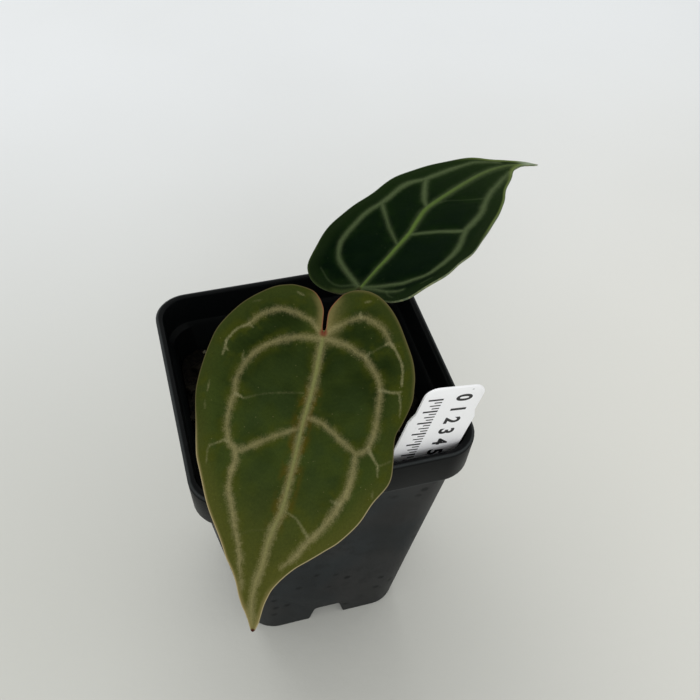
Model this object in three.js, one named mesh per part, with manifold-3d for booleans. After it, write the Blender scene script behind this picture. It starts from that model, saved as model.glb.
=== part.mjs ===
/**
 * A young velvet anthurium with two leaves, in a square nursery pot with a plain plant label.
 *
 * Units are millimetres and +Z is up. The pot's front faces -Y. Sizes are given from the middle of the
 * pot's foot, and the whole plant is moved at the end, so that the origin lies under the middle of its box.
 *
 * A leaf is described on a flat sheet: s runs from the stalk's joint to the tip and t to the left, seen
 * along s from above. The sheet is then laid in its place and bent by its own relief formula.
 */
import * as THREE from 'three';
import { mergeVertices } from 'three/addons/utils/BufferGeometryUtils.js';
import Module from 'manifold-3d';

const wasm = await Module();
wasm.setup();

/** Gap that pieces keep where they touch. */
const CLEARANCE = 0.3;

const POT = {
  height: 89,
  footHalf: 23,
  shoulderHalf: 32.5,
  shoulderZ: 78.3,
  bandHalf: 34.4,
  rimHalf: 35,
  corner: 8.5,
  wall: 1,
  lipWidth: 1.9,
  cornerSteps: 5,
};

/** The raised cross in the foot, which ends in a notch in the middle of each side. */
const CHANNEL = { height: 7.4, footHalf: 5.35, topHalf: 3.75 };

const DRAIN_HOLE = { radius: 2.5, reach: 13, sides: 10 };

const SOIL = { surfaceZ: 71, cells: 24, chips: 70, chipHeight: 1.7, seed: 11 };

const STEM = { radius: 3.6, footZ: 58, topZ: 78.5, scars: 4, sides: 10 };

const ROOT = { radius: 1.1, sides: 6, steps: 7, rise: 5.5, reach: 10, dive: 9 };

const STALK = { radius: 1.15, jointRadius: 1.6, jointLength: 7, footRadius: 2, sides: 8, steps: 14 };

const SHEATH = { height: 15, radius: 2.35, thickness: 0.6, sides: 9, steps: 6 };

const LABEL = {
  width: 16.8,
  headWidth: 14.8,
  thickness: 0.6,
  headTop: 26.4,
  shoulder: 13.8,
  neck: 16.9,
  foot: -74,
  point: 9,
  lean: THREE.MathUtils.degToRad(9.7),
  wallSlope: Math.atan((POT.shoulderHalf - POT.footHalf) / POT.shoulderZ),
  rimPlace: [21.3, -30.5, 87],
};

const BLADE = { thickness: 0.7, alongSteps: 30, acrossSteps: 4, lobeShare: 0.42 };

/** Half widths and heights of a raised vein, at its start and at its end. */
const MIDRIB = { startWidth: 1.3, endWidth: 0.45, above: 0.3, below: 1.0, step: 4.5 };
const MAIN_VEIN = { startWidth: 1.0, endWidth: 0.45, above: 0.25, below: 0.5, step: 4.5 };
const SIDE_VEIN = { startWidth: 0.8, endWidth: 0.4, above: 0.2, below: 0.4, step: 4.5 };

const FRONT_LEAF = {
  joint: [-0.95, -18.4, 120.3],
  along: [-0.42, -0.714, -0.56],
  up: [-0.172, -0.543, 0.822],
  relief: (s, t) => 0.1 * Math.abs(t) - 0.0055 * t * t - 0.0011 * Math.max(s, 0) ** 2,
  tip: [64.8, -0.3],
  sinus: [-1.3, -0.3],
  leftEdge: [
    [-3.5, -0.4], [-5.4, -0.1], [-7.5, 0.6], [-10, 2.2], [-11.3, 4.8], [-11.4, 8.2], [-10, 11.7],
    [-6.3, 15.4], [-0.5, 19.4], [3.5, 21.1], [7, 21.8], [10, 21.9], [14.7, 20.9], [18, 20.1],
    [23.5, 21], [27.8, 21], [32.8, 18.5], [37.6, 16.7], [42.8, 13], [48.5, 7.1], [53.9, 2.8], [59, 1.2],
  ],
  rightEdge: [
    [-3, -1], [-4.8, -1.7], [-7.9, -3.1], [-9.3, -5.7], [-9.5, -9.8], [-8, -14], [-2.8, -18.8],
    [2.5, -22.5], [7.3, -23.7], [12, -24.4], [16.4, -24.1], [20.7, -23.3], [29.1, -21.3], [33.1, -19.9],
    [40.9, -15.7], [48.4, -10.7], [56, -6.2], [60.2, -3.6],
  ],
  midrib: [[-0.5, 0], [11, 0.5], [20, 0.2], [28.6, 0.3], [39, -0.3], [50, -1], [60.5, -0.9], [64, -0.4]],
  mainVeins: [
    [[0.4, -0.3], [2.5, -8], [6.1, -13.4], [11, -16.2], [19.3, -16.3], [25.7, -15.4], [28.4, -13],
      [33.8, -12.7], [40, -11], [46.8, -7.8], [53.7, -4.8]],
    [[0.2, 0.3], [1.1, 6.2], [3.5, 11.2], [8.8, 14.4], [15.1, 15.5], [21.2, 15], [23.3, 12.4],
      [28.8, 13.4], [34.5, 12.3], [41.2, 9.5], [47.4, 5.1], [52, 2.4]],
  ],
  sideVeins: [
    [[-0.4, -0.4], [-2.9, -4.8], [-3.6, -9.9], [-1, -14.9], [2.4, -18.6], [6.4, -20.5], [12, -21.5]],
    [[-0.4, 0.5], [-4.1, 3.2], [-6.1, 6.7], [-5, 11], [-1.4, 14.5], [2, 17.5], [7, 19]],
    [[21.1, -0.2], [24, -6.1], [27.1, -10.8], [28.4, -13]],
    [[18, 0.4], [19.2, 4.9], [21.5, 9], [23.3, 12.4]],
    [[38.7, 0.3], [41.3, 5.4], [43.4, 7.4]],
  ],
};

const BACK_LEAF = {
  joint: [13.55, 1.35, 113.1],
  along: [0.701, 0.64, 0.315],
  up: [-0.494, 0.116, 0.862],
  relief: (s, t) => 0.0043 * t * t + 0.012 * s * t - 0.006 * Math.max(s, 0) ** 2,
  tip: [69, -1.2],
  sinus: [-0.9, 0],
  leftEdge: [
    [-2, 2.2], [-2.6, 5], [-2.9, 9], [-2.4, 12.2], [-0.9, 15.8], [1.4, 18.4], [4.1, 19.5], [8.4, 19.7],
    [13, 19.2], [20, 17.4], [26.2, 15.5], [33, 14.2], [39, 12.7], [44.6, 11], [49.9, 9.3], [54.6, 7.2],
    [58.9, 5], [63.4, 2.8], [67, 0.5],
  ],
  rightEdge: [
    [-2.1, -2], [-2.7, -5], [-3, -9], [-2.6, -12.5], [-0.4, -16], [2.5, -18.7], [5, -20.2],
    [8.5, -20.8], [12.6, -20.7], [18.2, -20], [24.1, -18.5], [29.9, -16], [36.2, -13.5], [42.4, -10.4],
    [48.3, -7], [54.7, -4.2], [60, -2.8], [65.5, -2],
  ],
  midrib: [[-0.4, 0], [6.8, -1.1], [14.9, -1.4], [22.8, 0.1], [30.5, 1.2], [40.6, 0.8], [53.2, 1.1], [67, -0.7]],
  mainVeins: [
    [[0.4, 0.6], [2.1, 5.1], [3.8, 8.4], [5.6, 10.9], [8.2, 12.8], [13.3, 13.8], [20, 12.9], [26.3, 11.2],
      [34.3, 10], [40.7, 8], [49, 6.4], [58.9, 4]],
    [[0.1, -0.4], [0.9, -5], [3, -10.5], [7.1, -15.3], [10.6, -17], [14.1, -17.2], [18.1, -16.4],
      [26.2, -12.5], [30.8, -11.5], [36.3, -9.4], [46.8, -4.8], [58, -2]],
  ],
  sideVeins: [
    [[-0.2, 0.6], [-0.3, 5.1], [-0.2, 8.6], [0.8, 12.1], [3.6, 15.8], [7, 17]],
    [[-0.2, -0.6], [-0.4, -5.1], [-0.3, -9], [0.8, -13], [3.4, -16.5]],
    [[15.7, -1.2], [17.6, 2.6], [21.2, 6.2], [26, 11]],
    [[30.2, 1.2], [32.4, 3.8], [40.5, 8]],
    [[18.6, -0.8], [22.7, -5.4], [25.8, -12.4]],
    [[31.2, 1.1], [35, -0.4], [38.2, -3.5], [42, -6.6]],
  ],
};

const COLOURS = {
  pot: 0x1b1c1e,
  soil: 0x2a211a,
  stem: 0x6d6a3c,
  stalk: 0x5f6b34,
  sheath: 0x6f5233,
  frontLeaf: 0x46562a,
  backLeaf: 0x1d3323,
  label: 0xeeeeec,
};

/** Repeatable draws between 0 and 1. */
function seededDraw(seed) {
  let state = seed;
  return () => {
    state = (state * 1664525 + 1013904223) % 4294967296;
    return state / 4294967296;
  };
}

/** A geometry from points and a list of corner numbers, three for each triangle. */
function geometryFrom(points, index) {
  const geometry = new THREE.BufferGeometry();
  geometry.setAttribute('position', new THREE.Float32BufferAttribute(points.flatMap((p) => p.toArray()), 3));
  geometry.setIndex(index);
  return geometry;
}

/** The closed solid of a geometry, for joining and cutting. */
function solidOf(geometry) {
  const bare = geometry.clone();
  bare.deleteAttribute('normal');
  bare.deleteAttribute('uv');
  const merged = mergeVertices(bare, 1e-4);
  return new wasm.Manifold(new wasm.Mesh({
    numProp: 3,
    vertProperties: Float32Array.from(merged.attributes.position.array),
    triVerts: Uint32Array.from(merged.index.array),
  }));
}

/** The geometry of a joined or cut solid. */
function geometryOf(solid) {
  const { vertProperties, triVerts } = solid.getMesh();
  const geometry = new THREE.BufferGeometry();
  geometry.setAttribute('position', new THREE.BufferAttribute(Float32Array.from(vertProperties), 3));
  geometry.setIndex(new THREE.BufferAttribute(Uint32Array.from(triVerts), 1));
  geometry.computeVertexNormals();
  return geometry;
}

/** Joins rings of equal counts into a closed body. Each ring turns left, seen against the way they go. */
function loft(rings) {
  const sides = rings[0].length;
  const last = (rings.length - 1) * sides;
  const index = [];
  for (let start = sides; start <= last; start += sides) {
    for (let side = 0; side < sides; side += 1) {
      const next = (side + 1) % sides;
      index.push(start - sides + side, start - sides + next, start + next);
      index.push(start - sides + side, start + next, start + side);
    }
  }
  for (let side = 1; side < sides - 1; side += 1) {
    index.push(0, side + 1, side);
    index.push(last, last + side, last + side + 1);
  }
  return geometryFrom(rings.flat(), index);
}

/** A level square with rounded corners. */
function squareRing(half, corner, z) {
  const ring = [];
  for (let turn = 0; turn < 4; turn += 1) {
    const middle = (turn + 0.5) * Math.PI / 2;
    const centreX = Math.sign(Math.cos(middle)) * (half - corner);
    const centreY = Math.sign(Math.sin(middle)) * (half - corner);
    for (let step = 0; step <= POT.cornerSteps; step += 1) {
      const angle = turn * Math.PI / 2 + step / POT.cornerSteps * Math.PI / 2;
      ring.push(new THREE.Vector3(centreX + corner * Math.cos(angle), centreY + corner * Math.sin(angle), z));
    }
  }
  return ring;
}

/** A round tube along a curve, with its radius given by the share of the way along. */
function taperedTube(curve, radiusAt, steps, sides) {
  const frames = curve.computeFrenetFrames(steps, false);
  const rings = [];
  for (let step = 0; step <= steps; step += 1) {
    const centre = curve.getPointAt(step / steps);
    const radius = radiusAt(step / steps);
    const ring = [];
    for (let side = 0; side < sides; side += 1) {
      const angle = side / sides * Math.PI * 2;
      const spoke = frames.normals[step].clone().multiplyScalar(Math.cos(angle) * radius)
        .addScaledVector(frames.binormals[step], Math.sin(angle) * radius);
      ring.push(centre.clone().add(spoke));
    }
    rings.push(ring);
  }
  return loft(rings);
}

/** Half width of the pot's outer wall below the rim band. */
function wallHalfAt(z) {
  return THREE.MathUtils.mapLinear(z, 0, POT.shoulderZ, POT.footHalf, POT.shoulderHalf);
}

/** The raised cross as a solid, grown on its sides and top. */
function channelSolid(grow) {
  const reach = POT.rimHalf + 5;
  const top = CHANNEL.height + grow;
  const profile = new THREE.Shape([
    new THREE.Vector2(-CHANNEL.footHalf - grow - 0.2, -1),
    new THREE.Vector2(CHANNEL.footHalf + grow + 0.2, -1),
    new THREE.Vector2(CHANNEL.topHalf + grow, top),
    new THREE.Vector2(-CHANNEL.topHalf - grow, top),
  ]);
  const arm = new THREE.ExtrudeGeometry(profile, { depth: reach * 2, bevelEnabled: false });
  arm.translate(0, 0, -reach);
  arm.rotateX(Math.PI / 2);
  const otherArm = arm.clone().rotateZ(Math.PI / 2);
  return solidOf(arm).add(solidOf(otherArm));
}

/** The room inside the pot, from its floor to above its rim, drawn in from the walls by a gap. */
function roomSolid(gap) {
  const inset = POT.wall + gap;
  const corner = POT.corner - inset;
  const floor = POT.wall + gap;
  const room = solidOf(loft([
    squareRing(wallHalfAt(floor) - inset, corner, floor),
    squareRing(POT.shoulderHalf - inset, corner, POT.shoulderZ + POT.wall),
    squareRing(POT.bandHalf - POT.lipWidth - gap, corner, POT.shoulderZ + POT.wall * 2.2),
    squareRing(POT.rimHalf - POT.lipWidth - gap, corner, POT.height - 0.7),
    squareRing(POT.rimHalf - POT.lipWidth + 0.4 - gap, corner, POT.height + 0.1),
  ]));
  return room.subtract(channelSolid(POT.wall + gap));
}

function makePot() {
  const outside = solidOf(loft([
    squareRing(POT.footHalf - 0.5, POT.corner, 0),
    squareRing(wallHalfAt(0.7), POT.corner, 0.7),
    squareRing(POT.shoulderHalf, POT.corner, POT.shoulderZ),
    squareRing(POT.bandHalf - 0.2, POT.corner, POT.shoulderZ),
    squareRing(POT.bandHalf, POT.corner, POT.shoulderZ + 0.5),
    squareRing(POT.rimHalf, POT.corner, POT.height - 0.8),
    squareRing(POT.rimHalf - 0.25, POT.corner, POT.height - 0.2),
    squareRing(POT.rimHalf - 0.7, POT.corner, POT.height),
  ]));
  let pot = outside.subtract(channelSolid(0)).subtract(roomSolid(0));
  const hole = new THREE.CylinderGeometry(DRAIN_HOLE.radius, DRAIN_HOLE.radius, 6, DRAIN_HOLE.sides);
  hole.rotateX(Math.PI / 2);
  for (const [x, y] of [[0, 0], [1, 0], [0, 1], [-1, 0], [0, -1]]) {
    const place = hole.clone().translate(x * DRAIN_HOLE.reach, y * DRAIN_HOLE.reach, CHANNEL.height);
    pot = pot.subtract(solidOf(place));
  }
  return pot;
}

/** Height of the potting mix: a gentle mound with bark chips lying over each other. */
function soilSurface() {
  const draw = seededDraw(SOIL.seed);
  const chips = Array.from({ length: SOIL.chips }, () => ({
    x: (draw() - 0.5) * 64,
    y: (draw() - 0.5) * 64,
    turn: draw() * Math.PI,
    length: 2.5 + draw() * 3.5,
    width: 1.6 + draw() * 1.8,
    height: SOIL.chipHeight * (0.4 + 0.6 * draw()),
  }));
  return (x, y) => {
    const mound = 1.2 * Math.cos(x / 22) * Math.cos(y / 22) + 0.4 * Math.sin(x / 5 + y / 7);
    let raised = 0;
    for (const chip of chips) {
      const dx = x - chip.x;
      const dy = y - chip.y;
      const lengthwise = (dx * Math.cos(chip.turn) + dy * Math.sin(chip.turn)) / chip.length;
      const crosswise = (dy * Math.cos(chip.turn) - dx * Math.sin(chip.turn)) / chip.width;
      const fall = 1 - lengthwise ** 2 - crosswise ** 2;
      if (fall > 0) raised = Math.max(raised, chip.height * Math.sqrt(fall));
    }
    return SOIL.surfaceZ + mound + raised;
  };
}

/** A block whose top follows a height formula. */
function reliefBlock(heightAt, half, bottomZ, cells) {
  const points = [];
  const index = [];
  const row = cells + 1;
  for (const isTop of [true, false]) {
    for (let i = 0; i <= cells; i += 1) {
      for (let j = 0; j <= cells; j += 1) {
        const x = (i / cells * 2 - 1) * half;
        const y = (j / cells * 2 - 1) * half;
        points.push(new THREE.Vector3(x, y, isTop ? heightAt(x, y) : bottomZ));
      }
    }
  }
  const under = row * row;
  const quad = (a, b, c, d) => index.push(a, b, c, a, c, d);
  for (let i = 0; i < cells; i += 1) {
    for (let j = 0; j < cells; j += 1) {
      const a = i * row + j;
      quad(a, a + row, a + row + 1, a + 1);
      quad(under + a, under + a + 1, under + a + row + 1, under + a + row);
    }
    const left = i * row;
    const right = i * row + cells;
    quad(left + under, left + row + under, left + row, left);
    quad(right, right + row, right + row + under, right + under);
    quad(i + under, i, i + 1, i + 1 + under);
    const far = cells * row + i;
    quad(far, far + under, far + 1 + under, far + 1);
  }
  return geometryFrom(points, index);
}

/** The stem's outline turned about the pot's axis, thicker at each old leaf's scar. */
function stemGeometry(grow) {
  const profile = [new THREE.Vector2(0, STEM.footZ - grow)];
  const steps = STEM.scars * 4;
  for (let step = 0; step <= steps; step += 1) {
    const share = step / steps;
    const swell = 0.35 * Math.cos(share * STEM.scars * Math.PI * 2);
    const radius = STEM.radius * (0.75 + 0.35 * Math.sin(share * Math.PI * 0.75)) + swell * 0.6 + grow;
    profile.push(new THREE.Vector2(radius, THREE.MathUtils.lerp(STEM.footZ - grow, STEM.topZ + grow, share)));
  }
  profile.push(new THREE.Vector2(0, STEM.topZ + grow));
  return new THREE.LatheGeometry(profile, STEM.sides).rotateX(Math.PI / 2);
}

/** A thick root that leaves the stem above the mix and bends down into it. */
function rootGeometry(turn, grow) {
  const out = (distance, z) => new THREE.Vector3(Math.cos(turn) * distance, Math.sin(turn) * distance, z);
  const curve = new THREE.CatmullRomCurve3([
    out(0.5, SOIL.surfaceZ + ROOT.rise),
    out(ROOT.reach * 0.5, SOIL.surfaceZ + ROOT.rise - 1),
    out(ROOT.reach * 0.85, SOIL.surfaceZ + ROOT.rise - 4),
    out(ROOT.reach, SOIL.surfaceZ - ROOT.dive),
  ]);
  return taperedTube(curve, (share) => ROOT.radius * (1 - 0.35 * share) + grow, ROOT.steps, ROOT.sides);
}

/** Turns a leaf's flat places into places in space. */
class LeafForm {
  constructor(leaf) {
    this.joint = new THREE.Vector3(...leaf.joint);
    this.up = new THREE.Vector3(...leaf.up).normalize();
    const along = new THREE.Vector3(...leaf.along);
    this.along = along.addScaledVector(this.up, -along.dot(this.up)).normalize();
    this.left = new THREE.Vector3().crossVectors(this.up, this.along);
    this.relief = leaf.relief;
  }

  /** The middle of the blade's thickness. */
  middle(s, t) {
    return this.joint.clone()
      .addScaledVector(this.along, s)
      .addScaledVector(this.left, t)
      .addScaledVector(this.up, this.relief(s, t));
  }

  /** The way out of the blade's upper face. */
  normal(s, t) {
    const span = 0.5;
    const forward = this.middle(s + span, t).sub(this.middle(s - span, t));
    const sideways = this.middle(s, t + span).sub(this.middle(s, t - span));
    return forward.cross(sideways).normalize();
  }

  /** A place above the middle of the blade, or below it. */
  at(s, t, lift) {
    return this.middle(s, t).addScaledVector(this.normal(s, t), lift);
  }
}

/** A smooth line through flat places, cut into equal steps. */
function flatLine(places, steps) {
  const curve = new THREE.SplineCurve(places.map(([s, t]) => new THREE.Vector2(s, t)));
  return curve.getSpacedPoints(steps);
}

/** The blade: rows of quads from a spine along the midrib to each edge, alike on both faces. */
function bladeGeometry(leaf, form) {
  const { alongSteps, acrossSteps, thickness, lobeShare } = BLADE;
  const spine = flatLine([[0, 0], ...leaf.midrib.slice(1, -1), leaf.tip], 60);
  const spineAt = (step) => {
    const share = Math.max(0, (step / alongSteps - lobeShare * 0.5) / (1 - lobeShare * 0.5));
    return spine[Math.round(share * 60)];
  };
  const places = [];
  const number = new Map();
  const place = (point) => {
    const key = `${point.x.toFixed(4)},${point.y.toFixed(4)}`;
    if (!number.has(key)) {
      number.set(key, places.length);
      places.push(point);
    }
    return number.get(key);
  };
  const faces = [];
  const rim = [];
  for (const side of [1, -1]) {
    const edgePoints = side > 0 ? leaf.leftEdge : leaf.rightEdge;
    const edge = flatLine([leaf.sinus, ...edgePoints, leaf.tip], alongSteps);
    const grid = edge.map((outer, step) => {
      const inner = spineAt(step);
      return Array.from({ length: acrossSteps + 1 }, (_, across) => (
        place(inner.clone().lerp(outer, across / acrossSteps))
      ));
    });
    const triangle = (a, b, c) => {
      if (a === b || b === c || c === a) return;
      faces.push(side > 0 ? [a, b, c] : [a, c, b]);
    };
    for (let step = 0; step < alongSteps; step += 1) {
      for (let across = 0; across < acrossSteps; across += 1) {
        const a = grid[step][across];
        const b = grid[step + 1][across];
        const c = grid[step + 1][across + 1];
        const d = grid[step][across + 1];
        triangle(a, b, c);
        triangle(a, c, d);
      }
      const pair = [grid[step][acrossSteps], grid[step + 1][acrossSteps]];
      rim.push(side > 0 ? pair : pair.reverse());
    }
  }
  const upper = places.map((p) => form.at(p.x, p.y, thickness / 2));
  const lower = places.map((p) => form.at(p.x, p.y, -thickness / 2));
  const under = places.length;
  const index = [];
  for (const [a, b, c] of faces) {
    index.push(a, b, c);
    index.push(under + a, under + c, under + b);
  }
  for (const [a, b] of rim) {
    index.push(a, b, under + b);
    index.push(a, under + b, under + a);
  }
  return geometryFrom([...upper, ...lower], index);
}

/** A vein that stands out of both faces of the blade, with bevelled sides, and sinks in at its end. */
function veinGeometry(form, line, vein) {
  const curve = new THREE.SplineCurve(line.map(([s, t]) => new THREE.Vector2(s, t)));
  const steps = Math.max(3, Math.round(curve.getLength() / vein.step));
  const flat = curve.getSpacedPoints(steps);
  const centres = flat.map((p) => form.middle(p.x, p.y));
  const rings = centres.map((centre, step) => {
    const share = step / steps;
    const forward = centres[Math.min(step + 1, steps)].clone().sub(centres[Math.max(step - 1, 0)]).normalize();
    const up = form.normal(flat[step].x, flat[step].y);
    const side = new THREE.Vector3().crossVectors(up, forward).normalize();
    const width = THREE.MathUtils.lerp(vein.startWidth, vein.endWidth, share);
    const fade = Math.min(1, (1 - share) * 4);
    const above = BLADE.thickness / 2 + vein.above * fade - 0.08 * (1 - fade);
    const below = BLADE.thickness / 2 + vein.below * fade - 0.08 * (1 - fade);
    const corner = (across, lift) => centre.clone().addScaledVector(side, across).addScaledVector(up, lift);
    return [
      corner(width, 0), corner(width * 0.45, above), corner(-width * 0.45, above),
      corner(-width, 0), corner(-width * 0.45, -below), corner(width * 0.45, -below),
    ];
  });
  return loft(rings);
}

function makeLeaf(leaf) {
  const form = new LeafForm(leaf);
  let blade = solidOf(bladeGeometry(leaf, form));
  const veins = [
    [leaf.midrib, MIDRIB],
    ...leaf.mainVeins.map((line) => [line, MAIN_VEIN]),
    ...leaf.sideVeins.map((line) => [line, SIDE_VEIN]),
  ];
  for (const [line, vein] of veins) {
    blade = blade.add(solidOf(veinGeometry(form, line, vein)));
  }
  return blade;
}

/** A leaf's stalk, from its place on the stem to just under the blade's joint. */
function stalkCurve(leaf, foot, bow) {
  const form = new LeafForm(leaf);
  const drop = BLADE.thickness / 2 + MIDRIB.below + CLEARANCE;
  const end = form.at(0, 0, -drop);
  const start = new THREE.Vector3(...foot);
  const middle = start.clone().lerp(end, 0.5).add(new THREE.Vector3(...bow));
  const neck = end.clone().addScaledVector(form.up, -STALK.jointLength * 0.6)
    .addScaledVector(form.along, STALK.jointLength * 0.15);
  return new THREE.CatmullRomCurve3([start, middle, neck, end]);
}

function stalkRadius(curve) {
  const length = curve.getLength();
  return (share) => {
    const fromFoot = share * length;
    const fromTop = (1 - share) * length;
    const foot = (STALK.footRadius - STALK.radius) * Math.exp(-((fromFoot / 6) ** 2));
    const joint = (STALK.jointRadius - STALK.radius) * Math.exp(-(((fromTop - STALK.jointLength / 2) / 3.2) ** 2));
    return STALK.radius + foot + joint;
  };
}

function stalkGeometry(curve, grow) {
  const radiusAt = stalkRadius(curve);
  return taperedTube(curve, (share) => radiusAt(share) + grow, STALK.steps, STALK.sides);
}

/** A dry sheath that half wraps a stalk's foot and stands off it towards its point. */
function sheathGeometry(curve, facing) {
  const up = curve.getTangentAt(0.1);
  const foot = curve.getPointAt(0.055);
  const out = new THREE.Vector3(Math.cos(facing), Math.sin(facing), 0);
  out.addScaledVector(up, -out.dot(up)).normalize();
  const across = new THREE.Vector3().crossVectors(up, out);
  const points = [];
  for (const radius of [SHEATH.radius + SHEATH.thickness, SHEATH.radius]) {
    for (let step = 0; step <= SHEATH.steps; step += 1) {
      const share = step / SHEATH.steps;
      const halfAngle = THREE.MathUtils.lerp(1.9, 0.12, share ** 1.6);
      const centre = foot.clone().addScaledVector(up, SHEATH.height * share)
        .addScaledVector(out, 2.2 * share ** 2);
      for (let side = 0; side <= SHEATH.sides; side += 1) {
        const angle = THREE.MathUtils.lerp(-halfAngle, halfAngle, side / SHEATH.sides);
        points.push(centre.clone()
          .addScaledVector(out, Math.cos(angle) * radius)
          .addScaledVector(across, Math.sin(angle) * radius));
      }
    }
  }
  const row = SHEATH.sides + 1;
  const inner = (SHEATH.steps + 1) * row;
  const index = [];
  const quad = (a, b, c, d) => index.push(a, b, c, a, c, d);
  for (let step = 0; step < SHEATH.steps; step += 1) {
    for (let side = 0; side < SHEATH.sides; side += 1) {
      const a = step * row + side;
      quad(a, a + 1, a + row + 1, a + row);
      quad(inner + a, inner + a + row, inner + a + row + 1, inner + a + 1);
    }
    const start = step * row;
    const end = start + SHEATH.sides;
    quad(start, start + row, inner + start + row, inner + start);
    quad(end, inner + end, inner + end + row, end + row);
  }
  for (let side = 0; side < SHEATH.sides; side += 1) {
    const top = SHEATH.steps * row + side;
    quad(side, inner + side, inner + side + 1, side + 1);
    quad(top, top + 1, inner + top + 1, inner + top);
  }
  return geometryFrom(points, index);
}

/** The label's outline: a pointed foot, straight sides and a slightly narrower head. */
function labelGeometry(grow) {
  const half = LABEL.width / 2 + grow;
  const head = LABEL.headWidth / 2;
  const shape = new THREE.Shape();
  shape.moveTo(-half, LABEL.foot + LABEL.point);
  shape.lineTo(0, LABEL.foot - grow);
  shape.lineTo(half, LABEL.foot + LABEL.point);
  shape.lineTo(half, LABEL.shoulder);
  shape.lineTo(head, LABEL.neck);
  shape.lineTo(head, LABEL.headTop - 4);
  shape.quadraticCurveTo(head, LABEL.headTop, head - 4, LABEL.headTop);
  shape.lineTo(-head + 4, LABEL.headTop);
  shape.quadraticCurveTo(-head, LABEL.headTop, -head, LABEL.headTop - 4);
  shape.lineTo(-head, LABEL.neck);
  shape.lineTo(-half, LABEL.shoulder);
  shape.closePath();
  const depth = LABEL.thickness + grow * 2;
  const geometry = new THREE.ExtrudeGeometry(shape, { depth, bevelEnabled: false, curveSegments: 5 });
  geometry.translate(0, 0, -depth / 2);
  geometry.rotateX(Math.PI / 2);
  geometry.rotateY(LABEL.lean);
  geometry.rotateX(LABEL.wallSlope);
  geometry.translate(...LABEL.rimPlace);
  return geometry;
}

function material(colour, roughness) {
  return new THREE.MeshStandardMaterial({ color: colour, roughness, metalness: 0 });
}

function piece(name, geometry, colour, roughness) {
  const mesh = new THREE.Mesh(geometry, material(colour, roughness));
  mesh.name = name;
  return mesh;
}

const frontStalk = stalkCurve(FRONT_LEAF, [-0.6, -1.9, STEM.topZ - 1.5], [-0.5, 3, 3]);
const backStalk = stalkCurve(BACK_LEAF, [1.2, 1.7, STEM.topZ - 1.5], [1, 2.5, 0]);

const roots = [0.5, 2.5, 4.1];
let stem = solidOf(stemGeometry(0));
let burrow = solidOf(stemGeometry(CLEARANCE));
for (const turn of roots) {
  stem = stem.add(solidOf(rootGeometry(turn, 0)));
  burrow = burrow.add(solidOf(rootGeometry(turn, CLEARANCE)));
}
stem = stem.subtract(solidOf(stalkGeometry(frontStalk, CLEARANCE)));
stem = stem.subtract(solidOf(stalkGeometry(backStalk, CLEARANCE)));

const soilBlock = solidOf(reliefBlock(soilSurface(), POT.rimHalf, 0, SOIL.cells));
const soil = soilBlock.intersect(roomSolid(CLEARANCE)).subtract(burrow).subtract(solidOf(labelGeometry(CLEARANCE)));

const plant = new THREE.Group();
plant.name = 'potted_velvet_anthurium';
plant.add(piece('pot', geometryOf(makePot()), COLOURS.pot, 0.45));
plant.add(piece('soil', geometryOf(soil), COLOURS.soil, 0.95));
plant.add(piece('stem', geometryOf(stem), COLOURS.stem, 0.7));
plant.add(piece('petiole_front', stalkGeometry(frontStalk, 0), COLOURS.stalk, 0.5));
plant.add(piece('petiole_back', stalkGeometry(backStalk, 0), COLOURS.stalk, 0.5));
plant.add(piece('cataphyll_front', sheathGeometry(frontStalk, -2.2), COLOURS.sheath, 0.8));
plant.add(piece('cataphyll_back', sheathGeometry(backStalk, 0.6), COLOURS.sheath, 0.8));
plant.add(piece('leaf_front', geometryOf(makeLeaf(FRONT_LEAF)), COLOURS.frontLeaf, 0.6));
plant.add(piece('leaf_back', geometryOf(makeLeaf(BACK_LEAF)), COLOURS.backLeaf, 0.6));
plant.add(piece('plant_label', labelGeometry(0), COLOURS.label, 0.4));

const extent = new THREE.Box3().setFromObject(plant);
const middle = extent.getCenter(new THREE.Vector3());
plant.position.set(-middle.x, -middle.y, -extent.min.z);

export default plant;
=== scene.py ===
"""Looks of a young velvet anthurium with two leaves, in a square nursery pot with a plain plant label.

Sizes in the classes are millimetres from the middle of the pot's foot, +Z up and -Y to the front. The class
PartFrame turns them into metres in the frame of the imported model.
"""
import logging
import math
import random
from dataclasses import dataclass, field
from enum import Enum
from itertools import pairwise
from typing import Any, Callable, Sequence

import bmesh
import bpy
import numpy as np
from mathutils import Matrix, Vector, noise


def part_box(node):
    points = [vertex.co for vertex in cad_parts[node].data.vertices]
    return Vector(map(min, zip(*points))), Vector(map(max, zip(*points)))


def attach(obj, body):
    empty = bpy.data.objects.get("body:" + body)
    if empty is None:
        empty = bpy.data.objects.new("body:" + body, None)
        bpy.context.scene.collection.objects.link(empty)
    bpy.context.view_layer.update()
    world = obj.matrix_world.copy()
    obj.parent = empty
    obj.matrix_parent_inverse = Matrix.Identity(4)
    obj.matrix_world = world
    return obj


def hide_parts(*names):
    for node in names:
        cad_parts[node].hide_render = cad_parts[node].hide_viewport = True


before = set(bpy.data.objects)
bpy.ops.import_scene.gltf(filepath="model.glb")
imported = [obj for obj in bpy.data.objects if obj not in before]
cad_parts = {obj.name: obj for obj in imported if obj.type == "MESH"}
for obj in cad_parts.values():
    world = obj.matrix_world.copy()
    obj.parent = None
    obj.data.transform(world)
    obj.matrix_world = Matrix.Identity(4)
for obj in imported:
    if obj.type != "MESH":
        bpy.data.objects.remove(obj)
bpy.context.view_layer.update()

LOG = logging.getLogger("velvet_anthurium")
MM = 0.001
BODY = "root"
Places = np.ndarray
Colour = tuple[float, float, float, float]
Flat = tuple[float, float]
Triple = tuple[float, float, float]
Settings = dict[str, Any] | None
Values = dict[int | str, Any] | None
Piece = bpy.types.Object
Material = bpy.types.Material
Mesh = bpy.types.Mesh


# Frame and modelling helpers


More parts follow.
